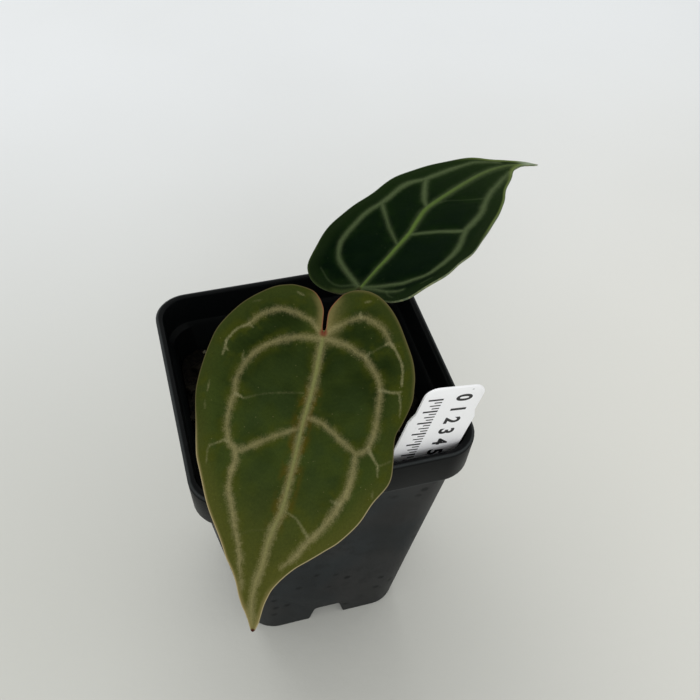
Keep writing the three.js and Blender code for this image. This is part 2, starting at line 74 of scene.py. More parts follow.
@dataclass(frozen=True)
class PartFrame:
    """Turns millimetres from the middle of the pot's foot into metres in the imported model's frame."""

    middle: Vector

    @classmethod
    def of_pot(cls) -> "PartFrame":
        """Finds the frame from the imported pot.

        Returns:
            The frame whose middle lies under the pot.
        """
        low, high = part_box("pot")
        centre = (low + high) / 2
        return cls(Vector((centre.x, centre.y, low.z)))

    def at(self, x: float, y: float, z: float) -> Vector:
        """A single place in metres."""
        return self.middle + Vector((x, y, z)) * MM

    def many(self, places: Places) -> Places:
        """Rows of places in metres."""
        return places * MM + np.array(self.middle)

    def back(self, places: Places) -> Places:
        """Rows of places in millimetres again."""
        return (places - np.array(self.middle)) / MM


def deselect() -> None:
    """Leaves edit mode, with nothing selected."""
    if bpy.context.object and bpy.context.object.mode != "OBJECT":
        bpy.ops.object.mode_set(mode="OBJECT")
    bpy.ops.object.select_all(action="DESELECT")


def choose(*pieces: Piece) -> None:
    """Selects these pieces alone, and makes the first one active.

    Args:
        pieces: The pieces to select.
    """
    deselect()
    for piece in pieces:
        piece.select_set(True)
    bpy.context.view_layer.objects.active = pieces[0]


def take_new(name: str) -> Piece:
    """Names the piece that an operator has just added, and moves its place into its mesh.

    Args:
        name: The piece's name.

    Returns:
        The piece, whose object sits at the origin.
    """
    piece = bpy.context.object
    piece.name = piece.data.name = name
    bpy.ops.object.transform_apply(location=True, rotation=True, scale=True)
    return piece


def apply_modifier(piece: Piece, kind: str, **settings: Any) -> None:
    """Adds a modifier to a piece and applies it.

    Args:
        piece: The piece to change.
        kind: The modifier's type.
        settings: The modifier's own settings.
    """
    choose(piece)
    modifier = piece.modifiers.new(kind.title(), kind)
    for name, value in settings.items():
        setattr(modifier, name, value)
    bpy.ops.object.modifier_apply(modifier=modifier.name)


def combine(piece: Piece, tool: Piece, operation: str) -> None:
    """Cuts a piece with a closed tool, joins them or keeps what they share, and removes the tool."""
    apply_modifier(piece, "BOOLEAN", operation=operation, object=tool, solver="EXACT")
    bpy.data.objects.remove(tool)


def smooth(piece: Piece, degrees: float = 40.0) -> None:
    """Shades a piece smooth, apart from edges sharper than an angle."""
    choose(piece)
    bpy.ops.object.shade_smooth_by_angle(angle=math.radians(degrees))


def read_places(mesh: Mesh) -> Places:
    """The mesh's points, as rows."""
    return np.array([point.co for point in mesh.vertices], dtype=float)


def write_places(mesh: Mesh, places: Places) -> None:
    """Moves the mesh's points to these rows."""
    mesh.vertices.foreach_set("co", np.ascontiguousarray(places, dtype=float).ravel())
    mesh.update()


def write_values(mesh: Mesh, name: str, values: Places) -> None:
    """Stores one number for each point, for a material to read."""
    layer = mesh.attributes.get(name) or mesh.attributes.new(name, "FLOAT", "POINT")
    layer.data.foreach_set("value", np.ascontiguousarray(values, dtype=np.float32))


def read_values(mesh: Mesh, name: str) -> Places:
    """The numbers stored under a name, one for each point."""
    return np.array([item.value for item in mesh.attributes[name].data], dtype=float)


class Editing:
    """Edit mode on one piece, with nothing selected at its start."""

    def __init__(self, piece: Piece) -> None:
        """Remembers the piece."""
        self.piece = piece

    def __enter__(self) -> "Editing":
        """Enters edit mode.

        Returns:
            These tools.
        """
        choose(self.piece)
        bpy.ops.object.mode_set(mode="EDIT")
        bpy.ops.mesh.select_mode(type="VERT")
        bpy.ops.mesh.select_all(action="DESELECT")
        return self

    def __exit__(self, *_: Any) -> None:
        """Goes back to object mode."""
        bpy.ops.object.mode_set(mode="OBJECT")

    def take(self, test: Callable[[Vector], bool]) -> None:
        """Selects the points whose place passes a test, and the edges and faces between them.

        Args:
            test: Says whether a place is wanted.
        """
        shape = bmesh.from_edit_mesh(self.piece.data)
        for vert in shape.verts:
            vert.select = test(vert.co)
        shape.select_flush(True)
        shape.select_flush(False)
        bmesh.update_edit_mesh(self.piece.data)

    def take_edges(self, test: Callable[[bmesh.types.BMEdge], bool]) -> None:
        """Selects the edges that pass a test, and nothing else.

        Args:
            test: Says whether an edge is wanted.
        """
        bpy.ops.mesh.select_all(action="DESELECT")
        bpy.ops.mesh.select_mode(type="EDGE")
        shape = bmesh.from_edit_mesh(self.piece.data)
        for edge in shape.edges:
            edge.select = test(edge)
        shape.select_flush_mode()
        bmesh.update_edit_mesh(self.piece.data)

    def spread(self, distance: float) -> None:
        """Moves the four corners of the selected level face outwards, and leaves the face selected.

        Args:
            distance: How far each corner moves along x and along y, in metres.
        """
        shape = bmesh.from_edit_mesh(self.piece.data)
        shape.verts.index_update()
        chosen = {vert.index for vert in shape.verts if vert.select}
        middle = sum((vert.co for vert in shape.verts if vert.select), Vector()) / len(chosen)
        for x, y in ((-1, -1), (-1, 1), (1, -1), (1, 1)):
            self._take_numbers(chosen, lambda co: (co.x - middle.x) * x > 0 < (co.y - middle.y) * y)
            bpy.ops.transform.translate(value=(x * distance, y * distance, 0))
        self._take_numbers(chosen, lambda co: True)

    def _take_numbers(self, numbers: set[int], test: Callable[[Vector], bool]) -> None:
        """Selects the points that have one of these numbers and pass a test, and nothing else.

        Args:
            numbers: The points' numbers.
            test: Says whether a place is wanted.
        """
        shape = bmesh.from_edit_mesh(self.piece.data)
        shape.verts.index_update()
        for item in (*shape.faces, *shape.edges):
            item.select = False
        for vert in shape.verts:
            vert.select = vert.index in numbers and test(vert.co)
        shape.select_flush(True)
        bmesh.update_edit_mesh(self.piece.data)

    @staticmethod
    def face_outwards() -> None:
        """Turns every face outwards."""
        bpy.ops.mesh.select_all(action="SELECT")
        bpy.ops.mesh.normals_make_consistent(inside=False)


def evenly(line: Places, count: int) -> Places:
    """Cuts a line into points at equal steps along it.

    Args:
        line: The line's points, as rows.
        count: The number of points wanted.

    Returns:
        The new points, as rows.
    """
    steps = np.linalg.norm(np.diff(line, axis=0), axis=1)
    run = np.concatenate([[0.0], np.cumsum(steps)])
    stops = np.linspace(0, run[-1], count)
    return np.column_stack([np.interp(stops, run, line[:, axis]) for axis in range(line.shape[1])])


def curved(start: Places, end: Places, leave: Places, arrive: Places, steps: int) -> Places:
    """A curve between two places, with a given way and speed at each.

    Args:
        start: The first place.
        end: The last place.
        leave: The way and speed at the first place.
        arrive: The way and speed at the last place.
        steps: The number of points wanted, without the last place.

    Returns:
        The points, as rows.
    """
    x = np.linspace(0, 1, steps, endpoint=False)[:, None]
    bend = -3 * start + 3 * end - 2 * leave - arrive
    return start + leave * x + bend * x**2 + (2 * start - 2 * end + leave + arrive) * x**3


def flat_line(places: Sequence[Flat | Triple], step: float) -> Places:
    """A smooth line through flat places, cut into about equal steps.

    Args:
        places: The places that the line passes through, each with a width or without one.
        step: The length wanted between its points.

    Returns:
        The line's points, as rows.
    """
    stops = np.array(places, float)
    ends = np.vstack([stops[:1], stops, stops[-1:]])
    parts = [
        curved(b, c, (c - a) / 2, (d - b) / 2, 24)
        for a, b, c, d in zip(ends[:-3], ends[1:-2], ends[2:-1], ends[3:])
    ]
    line = np.vstack([*parts, stops[-1:]])
    length = np.linalg.norm(np.diff(line, axis=0), axis=1).sum()
    return evenly(line, max(3, int(round(length / step)) + 1))


def space_line(places: Sequence[Vector], count: int) -> list[Vector]:
    """A smooth curve through places in space, which doesn't overshoot where they lie close together.

    Args:
        places: The places that the curve passes through.
        count: The number of points wanted.

    Returns:
        Points at equal steps along the curve.
    """
    ends = [2 * places[0] - places[1], *places, 2 * places[-1] - places[-2]]
    parts = []
    for a, b, c, d in zip(ends[:-3], ends[1:-2], ends[2:-1], ends[3:]):
        before, between, after = ((q - p).length ** 0.5 for p, q in ((a, b), (b, c), (c, d)))
        leave = ((b - a) / before - (c - a) / (before + between) + (c - b) / between) * between
        arrive = ((c - b) / between - (d - b) / (between + after) + (d - c) / after) * between
        parts.append(curved(*(np.array(way) for way in (b, c, leave, arrive)), 30))
    return [Vector(row) for row in evenly(np.vstack([*parts, np.array(places[-1])]), count)]


def tube(name: str, runs: Sequence[Sequence[Vector]], radii: Sequence[float], turns: int) -> Piece:
    """Round closed tubes along lines, as one piece.

    Args:
        name: The piece's name.
        runs: The points of each tube, in metres.
        radii: The radius at each point of a tube, in millimetres.
        turns: How finely the tubes are rounded.

    Returns:
        The piece.
    """
    curve = bpy.data.curves.new(name, "CURVE")
    curve.dimensions = "3D"
    curve.bevel_depth, curve.bevel_resolution = MM, turns
    curve.use_fill_caps = True
    for run in runs:
        spline = curve.splines.new("POLY")
        spline.points.add(len(run) - 1)
        for point, place, radius in zip(spline.points, run, radii):
            point.co, point.radius = (*place, 1.0), radius
    piece = bpy.data.objects.new(name, curve)
    bpy.context.scene.collection.objects.link(piece)
    choose(piece)
    bpy.ops.object.convert(target="MESH")
    return bpy.context.object


def nearest(line: Places, places: Places) -> tuple[Places, Places]:
    """How far flat places lie from a line.

    Args:
        line: The line's points.
        places: The places to measure from.

    Returns:
        The distance of each place, and the share of the line at its nearest point.
    """
    best = np.full(len(places), np.inf)
    share = np.zeros(len(places))
    count = len(line) - 1
    for number, (start, end) in enumerate(pairwise(line)):
        way = end - start
        along = np.clip((places - start) @ way / max(way @ way, 1e-9), 0, 1)
        gap = np.linalg.norm(places - start - along[:, None] * way, axis=1)
        closer = gap < best
        best[closer] = gap[closer]
        share[closer] = (number + along[closer]) / count
    return best, share


def ramp(values: Places, start: float, end: float) -> Places:
    """A smooth rise from 0 at start to 1 at end."""
    share = np.clip((values - start) / (end - start), 0, 1)
    return share * share * (3 - 2 * share)


def hand_over(piece: Piece, finishes: Sequence[Material], slot: str, *nodes: str) -> Piece:
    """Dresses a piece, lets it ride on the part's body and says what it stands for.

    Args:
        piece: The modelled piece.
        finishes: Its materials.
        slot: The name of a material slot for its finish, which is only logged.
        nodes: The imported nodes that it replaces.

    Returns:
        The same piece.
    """
    for finish in finishes:
        piece.data.materials.append(finish)
    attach(piece, BODY)
    if nodes:
        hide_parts(*nodes)
    LOG.info("%s: %d faces, %s", piece.name, len(piece.data.polygons), slot)
    return piece


# Shader helpers


def tone(*levels: int) -> Colour:
    """The linear colour, with full cover, of screen levels from 0 to 255 for red, green and blue."""
    shares = (level / 255 for level in levels)
    return (*(s / 12.92 if s <= 0.04045 else ((s + 0.055) / 1.055) ** 2.4 for s in shares), 1.0)


class Socket:
    """A shader value on which Python's operators add Math nodes."""

    def __init__(self, recipe: "Recipe", socket: bpy.types.NodeSocket) -> None:
        """Wraps a socket of a recipe."""
        self.recipe = recipe
        self.socket = socket

    def _math(self, operation: str, *values: Any) -> "Socket":
        """Adds one Math node."""
        made = self.recipe.node("ShaderNodeMath", {"operation": operation}, dict(enumerate(values)))
        return Socket(self.recipe, made.outputs[0])

    def __add__(self, other: Any) -> "Socket":
        """Self plus other."""
        return self._math("ADD", self, other)

    __radd__ = __add__

    def __sub__(self, other: Any) -> "Socket":
        """Self minus other."""
        return self._math("SUBTRACT", self, other)

    def __rsub__(self, other: Any) -> "Socket":
        """Other minus self."""
        return self._math("SUBTRACT", other, self)

    def __mul__(self, other: Any) -> "Socket":
        """Self times other."""
        return self._math("MULTIPLY", self, other)

    __rmul__ = __mul__

    def absolute(self) -> "Socket":
        """The size without its sign."""
        return self._math("ABSOLUTE", self)

    def larger(self, other: Any) -> "Socket":
        """The larger of two values."""
        return self._math("MAXIMUM", self, other)

    def smaller(self, other: Any) -> "Socket":
        """The smaller of two values."""
        return self._math("MINIMUM", self, other)

    def rise(self, start: float, end: float) -> "Socket":
        """A smooth rise from 0 to 1, or a fall where end is below start.

        Args:
            start: The value that gives 0.
            end: The value that gives 1.

        Returns:
            The share.
        """
        low, high, first, last = (start, end, 0.0, 1.0) if start < end else (end, start, 1.0, 0.0)
        made = self.recipe.node(
            "ShaderNodeMapRange", {"interpolation_type": "SMOOTHSTEP"},
            {0: self, 1: low, 2: high, 3: first, 4: last},
        )
        return Socket(self.recipe, made.outputs[0])


class Recipe:
    """A material under construction."""

    def __init__(self, name: str) -> None:
        """Starts an empty material.

        Args:
            name: The material's name.
        """
        self.material = bpy.data.materials.new(name)
        self.material.use_nodes = True
        self.tree = self.material.node_tree
        self.tree.nodes.clear()

    def node(self, kind: str, settings: Settings = None, values: Values = None) -> bpy.types.Node:
        """Adds one node.

        Args:
            kind: The node's type.
            settings: Its own settings, which are set first.
            values: Values or links of its sockets, by number or name.

        Returns:
            The node.
        """
        made = self.tree.nodes.new(kind)
        for name, value in (settings or {}).items():
            setattr(made, name, value)
        for name, value in (values or {}).items():
            if isinstance(value, Socket):
                self.tree.links.new(value.socket, made.inputs[name])
            else:
                made.inputs[name].default_value = value
        return made

    def value(
        self, kind: str, output: int | str, settings: Settings = None, values: Values = None
    ) -> Socket:
        """Adds one node and wraps one of its outputs."""
        return Socket(self, self.node(kind, settings, values).outputs[output])

    def where(self) -> Socket:
        """The place on the piece, in metres."""
        return self.value("ShaderNodeTexCoord", "Object")

    def stored(self, name: str) -> Socket:
        """A number stored on the mesh."""
        return self.value("ShaderNodeAttribute", "Fac", {"attribute_name": name})

    def stored_place(self, name: str) -> Socket:
        """A vector stored on the mesh."""
        return self.value("ShaderNodeAttribute", "Vector", {"attribute_name": name})

    def axis(self, vector: Socket, number: int) -> Socket:
        """One number of a vector."""
        return self.value("ShaderNodeSeparateXYZ", number, None, {0: vector})

    def vector(self, x: Any, y: Any, z: Any = 0.0) -> Socket:
        """A vector from three numbers."""
        return self.value("ShaderNodeCombineXYZ", 0, None, {0: x, 1: y, 2: z})

    def stretched(self, vector: Socket, scale: Triple) -> Socket:
        """A vector times a size for each axis."""
        return self.value("ShaderNodeVectorMath", 0, {"operation": "MULTIPLY"}, {0: vector, 1: scale})

    def shifted(self, vector: Socket, offset: Vector) -> Socket:
        """A vector plus a fixed one."""
        return self.value("ShaderNodeVectorMath", 0, {"operation": "ADD"}, {0: vector, 1: offset})

    def length(self, vector: Socket) -> Socket:
        """A vector's length."""
        return self.value("ShaderNodeVectorMath", "Value", {"operation": "LENGTH"}, {0: vector})

    def cloud(self, vector: Socket, scale: float, detail: float = 2.0, roughness: float = 0.5) -> Socket:
        """Soft noise from 0 to 1: its lumps in one unit of the place, its finer layers and their strength."""
        values: Values = {"Vector": vector, "Scale": scale, "Detail": detail, "Roughness": roughness}
        return self.value("ShaderNodeTexNoise", 0, None, values)

    def cells(self, vector: Socket, scale: float, feature: str = "F1") -> Socket:
        """Distance to the middle or the edge of small cells."""
        values: Values = {"Vector": vector, "Scale": scale}
        return self.value("ShaderNodeTexVoronoi", "Distance", {"feature": feature}, values)

    def blend(self, share: Any, first: Any, second: Any, mode: str = "MIX") -> Socket:
        """A colour between two, or one laid over the other in another mode."""
        settings: Settings = {"data_type": "RGBA", "blend_type": mode, "clamp_factor": True}
        return self.value("ShaderNodeMix", 2, settings, {0: share, 6: first, 7: second})

    def bump(self, height: Socket, distance: float) -> Socket:
        """The surface's way out, bent by a height between 0 and 1 over a distance in metres."""
        values: Values = {"Strength": 1.0, "Distance": distance, "Height": height}
        return self.value("ShaderNodeBump", 0, None, values)

    def finish(self, colour: Any, roughness: Any, normal: Socket, gloss: float = 0.5) -> Material:
        """Ends the material in one Principled shader.

        Args:
            colour: Base colour.
            roughness: Roughness.
            normal: The bent way out.
            gloss: How strongly the surface reflects, the same all over the piece.

        Returns:
            The material.
        """
        values: Values = {
            "Base Color": colour, "Roughness": roughness, "Specular IOR Level": gloss, "Normal": normal,
        }
        shader = self.value("ShaderNodeBsdfPrincipled", 0, None, values)
        self.node("ShaderNodeOutputMaterial", None, {0: shader})
        return self.material


# Finishes


@dataclass(frozen=True)
class BlackPlastic:
    """Moulded black plastic with a fine grain, a cloudy film and dark blotches. Its outside is lighter by a
    dusty film and a painted reflection of the bright floor, and painted highlight lines run along the edges
    of its rim and ledge.
    """

    base: Colour = tone(6, 8, 9)
    # The cool tone and the next one colour the outside: partly a dusty film, partly a painted reflection of
    # the bright floor.
    cool: Colour = tone(64, 70, 73)
    dust: Colour = tone(75, 75, 75)
    # The colour of the painted highlight lines along the edges of the rim and the ledge.
    worn: Colour = tone(96, 101, 102)
    roughness: float = 0.4

    def material(self, pot: "NurseryPot") -> Material:
        """Makes the material.

        Args:
            pot: The pot, whose sizes say where its outside and its edges are.

        Returns:
            The material.
        """
        recipe = Recipe("pot_plastic")
        place = recipe.stretched(recipe.shifted(recipe.where(), -pot.part.middle), (1000.0, 1000.0, 1000.0))
        x, y, z = (recipe.axis(place, number) for number in range(3))
        grain = recipe.cloud(place, 4.2, 2.0, 0.6)
        flow = recipe.cloud(recipe.stretched(place, (0.06, 0.06, 0.014)), 1.0, 3.0, 0.55)
        spots = recipe.cells(place, 0.21).rise(0.30, 0.12) * recipe.cloud(place, 0.06, 1.0).rise(0.5, 0.58)
        film = recipe.cloud(recipe.stretched(place, (0.06, 0.06, 0.035)), 1.0, 3.0, 0.6).rise(0.3, 0.7)
        blotch = recipe.cloud(recipe.shifted(place, Vector((3, 0, 7))), 0.24, 3.0, 0.6).rise(0.54, 0.6)
        speck = recipe.cloud(place, 1.1, 3.0, 0.7).rise(0.62, 0.78)

        ledge, corner, height = pot.shoulder_z, pot.corner, pot.height
        slope = (pot.shoulder_half - pot.foot_half) / ledge
        reach = self.reach(recipe, x, y, z * slope + (pot.foot_half - corner))
        outer = reach.rise(corner - 0.7, corner - 0.3) * z.rise(height - 0.1, height - 0.5)
        band = z.rise(ledge - 0.2, ledge)
        # The rim band's lower edge and the rim's outer top edge get painted highlight lines.
        step = z.rise(ledge, ledge + 0.15) * z.rise(ledge + 0.75, ledge + 0.4)
        top = self.reach(recipe, x, y, pot.rim_half - corner)
        brim_highlight = top.rise(corner - 0.95, corner - 0.5) * z.rise(height - 0.55, height - 0.1)

        dots = recipe.cells(place, 0.42).rise(0.26, 0.14) * recipe.cloud(place, 0.09, 1.0).rise(0.5, 0.58)
        spotted = (1 - blotch * 0.35) * (1 - spots.larger(dots * 0.6) * 0.85)
        # Outside tone, partly a dusty film and partly a painted reflection of the bright floor; the rim band
        # gets little of it and the inside none.
        wall = (0.14 + film * 0.15 + speck * 0.14) * spotted * (1 - band)
        share = outer * (wall + band * (speck * 0.06)) + speck * 0.01
        dust_and_reflection_tint = recipe.blend(recipe.cloud(place, 0.035, 1.0).rise(0.42, 0.58), self.cool, self.dust)
        colour = recipe.blend(share.smaller(1.0), self.base, dust_and_reflection_tint)
        # Painted highlight lines on the rim band's lower edge and the rim's outer top edge.
        edges = (step * outer * 0.5).larger(brim_highlight * 0.5) * (0.15 + grain * 0.6)
        colour = recipe.blend(edges, colour, self.worn)
        rough = self.roughness + (flow - 0.5) * 0.16 + grain * 0.06 + share * 0.3 + spots * 0.1
        normal = recipe.bump(grain * 0.5 + flow * 1.5 + spots * 0.4, 0.00006)
        return recipe.finish(colour, rough, normal, gloss=0.08)

    @staticmethod
    def reach(recipe: Recipe, x: Socket, y: Socket, half: Any) -> Socket:
        """How far a place lies outside a square of this half width, measured round its corners."""
        over, aside = (x.absolute() - half).larger(0.0), (y.absolute() - half).larger(0.0)
        return recipe.length(recipe.vector(over, aside))


@dataclass(frozen=True)
class DampPeat:
    """Dark damp peat between the bark. Its near-black tones are partly its own colour and partly painted
    shade of the pot's inside.
    """

    # Near-black tones: partly the peat's own colour, partly painted shade inside the pot.
    dark: Colour = tone(4, 3, 2)
    pale: Colour = tone(22, 18, 12)

    def material(self) -> Material:
        """Makes the material.

        Returns:
            The material.
        """
        recipe = Recipe("damp_peat_and_painted_shade")
        where = recipe.where()
        crumbs = recipe.cloud(where, 900.0, 5.0, 0.7)
        fibres = recipe.cloud(recipe.stretched(where, (260.0, 2400.0, 900.0)), 1.0, 3.0, 0.6)
        colour = recipe.blend(crumbs.rise(0.4, 0.75), self.dark, self.pale)
        colour = recipe.blend(fibres.rise(0.62, 0.72) * 0.5, colour, tone(58, 43, 29))
        normal = recipe.bump(crumbs + fibres * 0.4, 0.0006)
        return recipe.finish(colour, 0.75 + crumbs * 0.2, normal, gloss=0.12)


@dataclass(frozen=True)
class BarkSkin:
    """Bark chips, each with its own tone, with long grain. Their very dark tones are partly their own colour
    and partly painted shade of the pot's inside.
    """

    # Very dark tones: partly the bark's own colour, partly painted shade inside the pot.
    dark: Colour = tone(7, 6, 4)
    warm: Colour = tone(32, 27, 16)

    def material(self) -> Material:
        """Makes the material.

        Returns:
            The material.
        """
        recipe = Recipe("bark_skin")
        where = recipe.where()
        grain = recipe.cloud(recipe.stretched(where, (500.0, 1900.0, 1900.0)), 1.0, 4.0, 0.65)
        chip = recipe.stored("own_tone")
        colour = recipe.blend((chip * 0.7 + grain.rise(0.35, 0.75) * 0.5).smaller(1.0), self.dark, self.warm)
        return recipe.finish(colour, 0.62 + grain * 0.3, recipe.bump(grain, 0.0004), gloss=0.15)


@dataclass(frozen=True)
class PumiceSkin:
    """Pale grains of pumice with fine pores."""

    pale: Colour = tone(112, 108, 92)
    stained: Colour = tone(56, 50, 36)

    def material(self) -> Material:
        """Makes the material.

        Returns:
            The material.
        """
        recipe = Recipe("pumice_skin")
        where = recipe.where()
        pores = recipe.cells(where, 2600.0).rise(0.15, 0.5)
        stain = recipe.cloud(where, 500.0, 3.0).rise(0.35, 0.7)
        colour = recipe.blend(stain, self.pale, self.stained)
        colour = recipe.blend(pores, tone(36, 32, 24), colour)
        return recipe.finish(colour, 0.92, recipe.bump(pores, 0.0002), gloss=0.2)


@dataclass(frozen=True)
class StemSkin:
    """Ridged green-brown stem that turns corky at its old leaf scars, and tan roots."""

    green: Colour = tone(84, 88, 42)
    cork: Colour = tone(112, 88, 56)
    root: Colour = tone(126, 104, 70)

    def material(self) -> Material:
        """Makes the material.

        Returns:
            The material.
        """
        recipe = Recipe("stem_skin")
        where = recipe.where()
        corky = (recipe.stored("cork") + (recipe.cloud(where, 420.0, 4.0, 0.6) - 0.5) * 0.9).rise(0.3, 0.8)
        cracks = recipe.cloud(recipe.stretched(where, (900.0, 900.0, 2600.0)), 1.0, 3.0, 0.6)
        colour = recipe.blend(corky, self.green, self.cork)
        colour = recipe.blend(recipe.stored("root"), colour, self.root)
        colour = recipe.blend(cracks.rise(0.58, 0.72) * 0.6, colour, tone(46, 34, 20))
        normal = recipe.bump(cracks + corky * 0.5, 0.0003)
        return recipe.finish(colour, 0.55 + corky * 0.3, normal, gloss=0.3)


@dataclass(frozen=True)
class StalkSkin:
    """Smooth green leaf stalk with fine lengthwise lines and pale flecks, flushed below its thicker joint."""

    green: Colour = tone(78, 92, 38)
    joint: Colour = tone(112, 118, 60)
    flush: Colour = tone(104, 70, 46)

    def material(self) -> Material:
        """Makes the material.

        Returns:
            The material.
        """
        recipe = Recipe("petiole_skin")
        where = recipe.where()
        run = recipe.stored("run")
        lines = recipe.cloud(recipe.vector(recipe.stored("turn") * 9.0, run * 3.0), 1.0, 2.0, 0.5)
        flecks = recipe.cells(where, 1500.0).rise(0.22, 0.1) * recipe.cloud(where, 700.0, 1.0).rise(0.5, 0.6)
        colour = recipe.blend(lines.rise(0.35, 0.7) * 0.5, self.green, tone(58, 72, 28))
        colour = recipe.blend(recipe.stored("joint"), colour, self.joint)
        colour = recipe.blend(recipe.stored("flush") * 0.7, colour, self.flush)
        colour = recipe.blend(flecks * 0.6, colour, tone(140, 146, 88))
        normal = recipe.bump(lines + flecks * 0.3, 0.00012)
        return recipe.finish(colour, 0.42 + lines * 0.15, normal, gloss=0.4)


@dataclass(frozen=True)
class DrySheath:
    """Dry papery sheath with long fibres, pale at its torn edges."""

    tan: Colour = tone(126, 92, 54)
    dark: Colour = tone(66, 42, 22)

    def material(self) -> Material:
        """Makes the material.

        Returns:
            The material.
        """
        recipe = Recipe("dry_sheath")
        across, run = recipe.stored("across"), recipe.stored("run")
        fibres = recipe.cloud(recipe.vector(across * 26.0, run * 0.22), 1.0, 4.0, 0.65)
        blotches = recipe.cloud(recipe.where(), 300.0, 3.0, 0.6)
        colour = recipe.blend(fibres.rise(0.35, 0.7), self.dark, self.tan)
        colour = recipe.blend(blotches.rise(0.5, 0.7) * 0.6, colour, tone(92, 60, 32))
        colour = recipe.blend(across.absolute().rise(0.82, 1.0) * 0.6, colour, tone(168, 138, 92))
        normal = recipe.bump(fibres + blotches * 0.5, 0.0003)
        return recipe.finish(colour, 0.7 + fibres * 0.2, normal, gloss=0.25)


@dataclass(frozen=True)
class VelvetPalette:
    """The tones of one leaf's upper face, and how its pale bands look."""

    name: str
    deep: Colour
    mid: Colour
    # light and light_low colour the painted sheen band along the margin.
    light: Colour
    light_low: Colour
    rim: Colour
    tip: Colour
    warm: Colour
    cool: Colour
    vein: Colour
    thread: Colour
    glow: Colour
    midrib: Colour
    midrib_end: Colour
    edge_high: Colour
    edge_low: Colour
    blush: Colour
    spot: Colour
    tail: Colour
    tip_dot: Colour
    tail_share: float
    fray: float
    halo: float
    core: float
    crest: float
    rust: float
    gloss: float


FRONT_PALETTE = VelvetPalette(
    "young_leaf", deep=tone(24, 35, 8), mid=tone(49, 60, 22), light=tone(48, 56, 20),
    light_low=tone(72, 74, 29), rim=tone(128, 116, 74), tip=tone(72, 73, 29),
    warm=tone(60, 64, 10), cool=tone(37, 50, 24), vein=tone(134, 127, 88), thread=tone(138, 134, 98),
    glow=tone(112, 104, 64), midrib=tone(124, 130, 76), midrib_end=tone(132, 126, 84),
    edge_high=tone(92, 84, 56), edge_low=tone(160, 147, 112), blush=tone(140, 82, 64), spot=tone(104, 46, 34),
    tail=tone(110, 108, 64), tip_dot=tone(58, 26, 16), tail_share=0.2, fray=1.0, halo=0.27, core=0.52,
    crest=0.55, rust=1.0, gloss=0.04,
)
BACK_PALETTE = VelvetPalette(
    "mature_leaf", deep=tone(2, 14, 4), mid=tone(11, 25, 8), light=tone(24, 36, 15),
    light_low=tone(27, 40, 17), rim=tone(122, 138, 78), tip=tone(27, 41, 17),
    warm=tone(16, 33, 7), cool=tone(7, 20, 10), vein=tone(75, 88, 58), thread=tone(78, 92, 62),
    glow=tone(40, 50, 30), midrib=tone(84, 106, 48), midrib_end=tone(84, 100, 56),
    edge_high=tone(60, 74, 46), edge_low=tone(78, 90, 68), blush=tone(44, 42, 26), spot=tone(44, 40, 24),
    tail=tone(146, 158, 138), tip_dot=tone(120, 116, 96), tail_share=0.8, fray=0.35, halo=0.2, core=0.82,
    crest=0.8, rust=0.0, gloss=0.02,
)


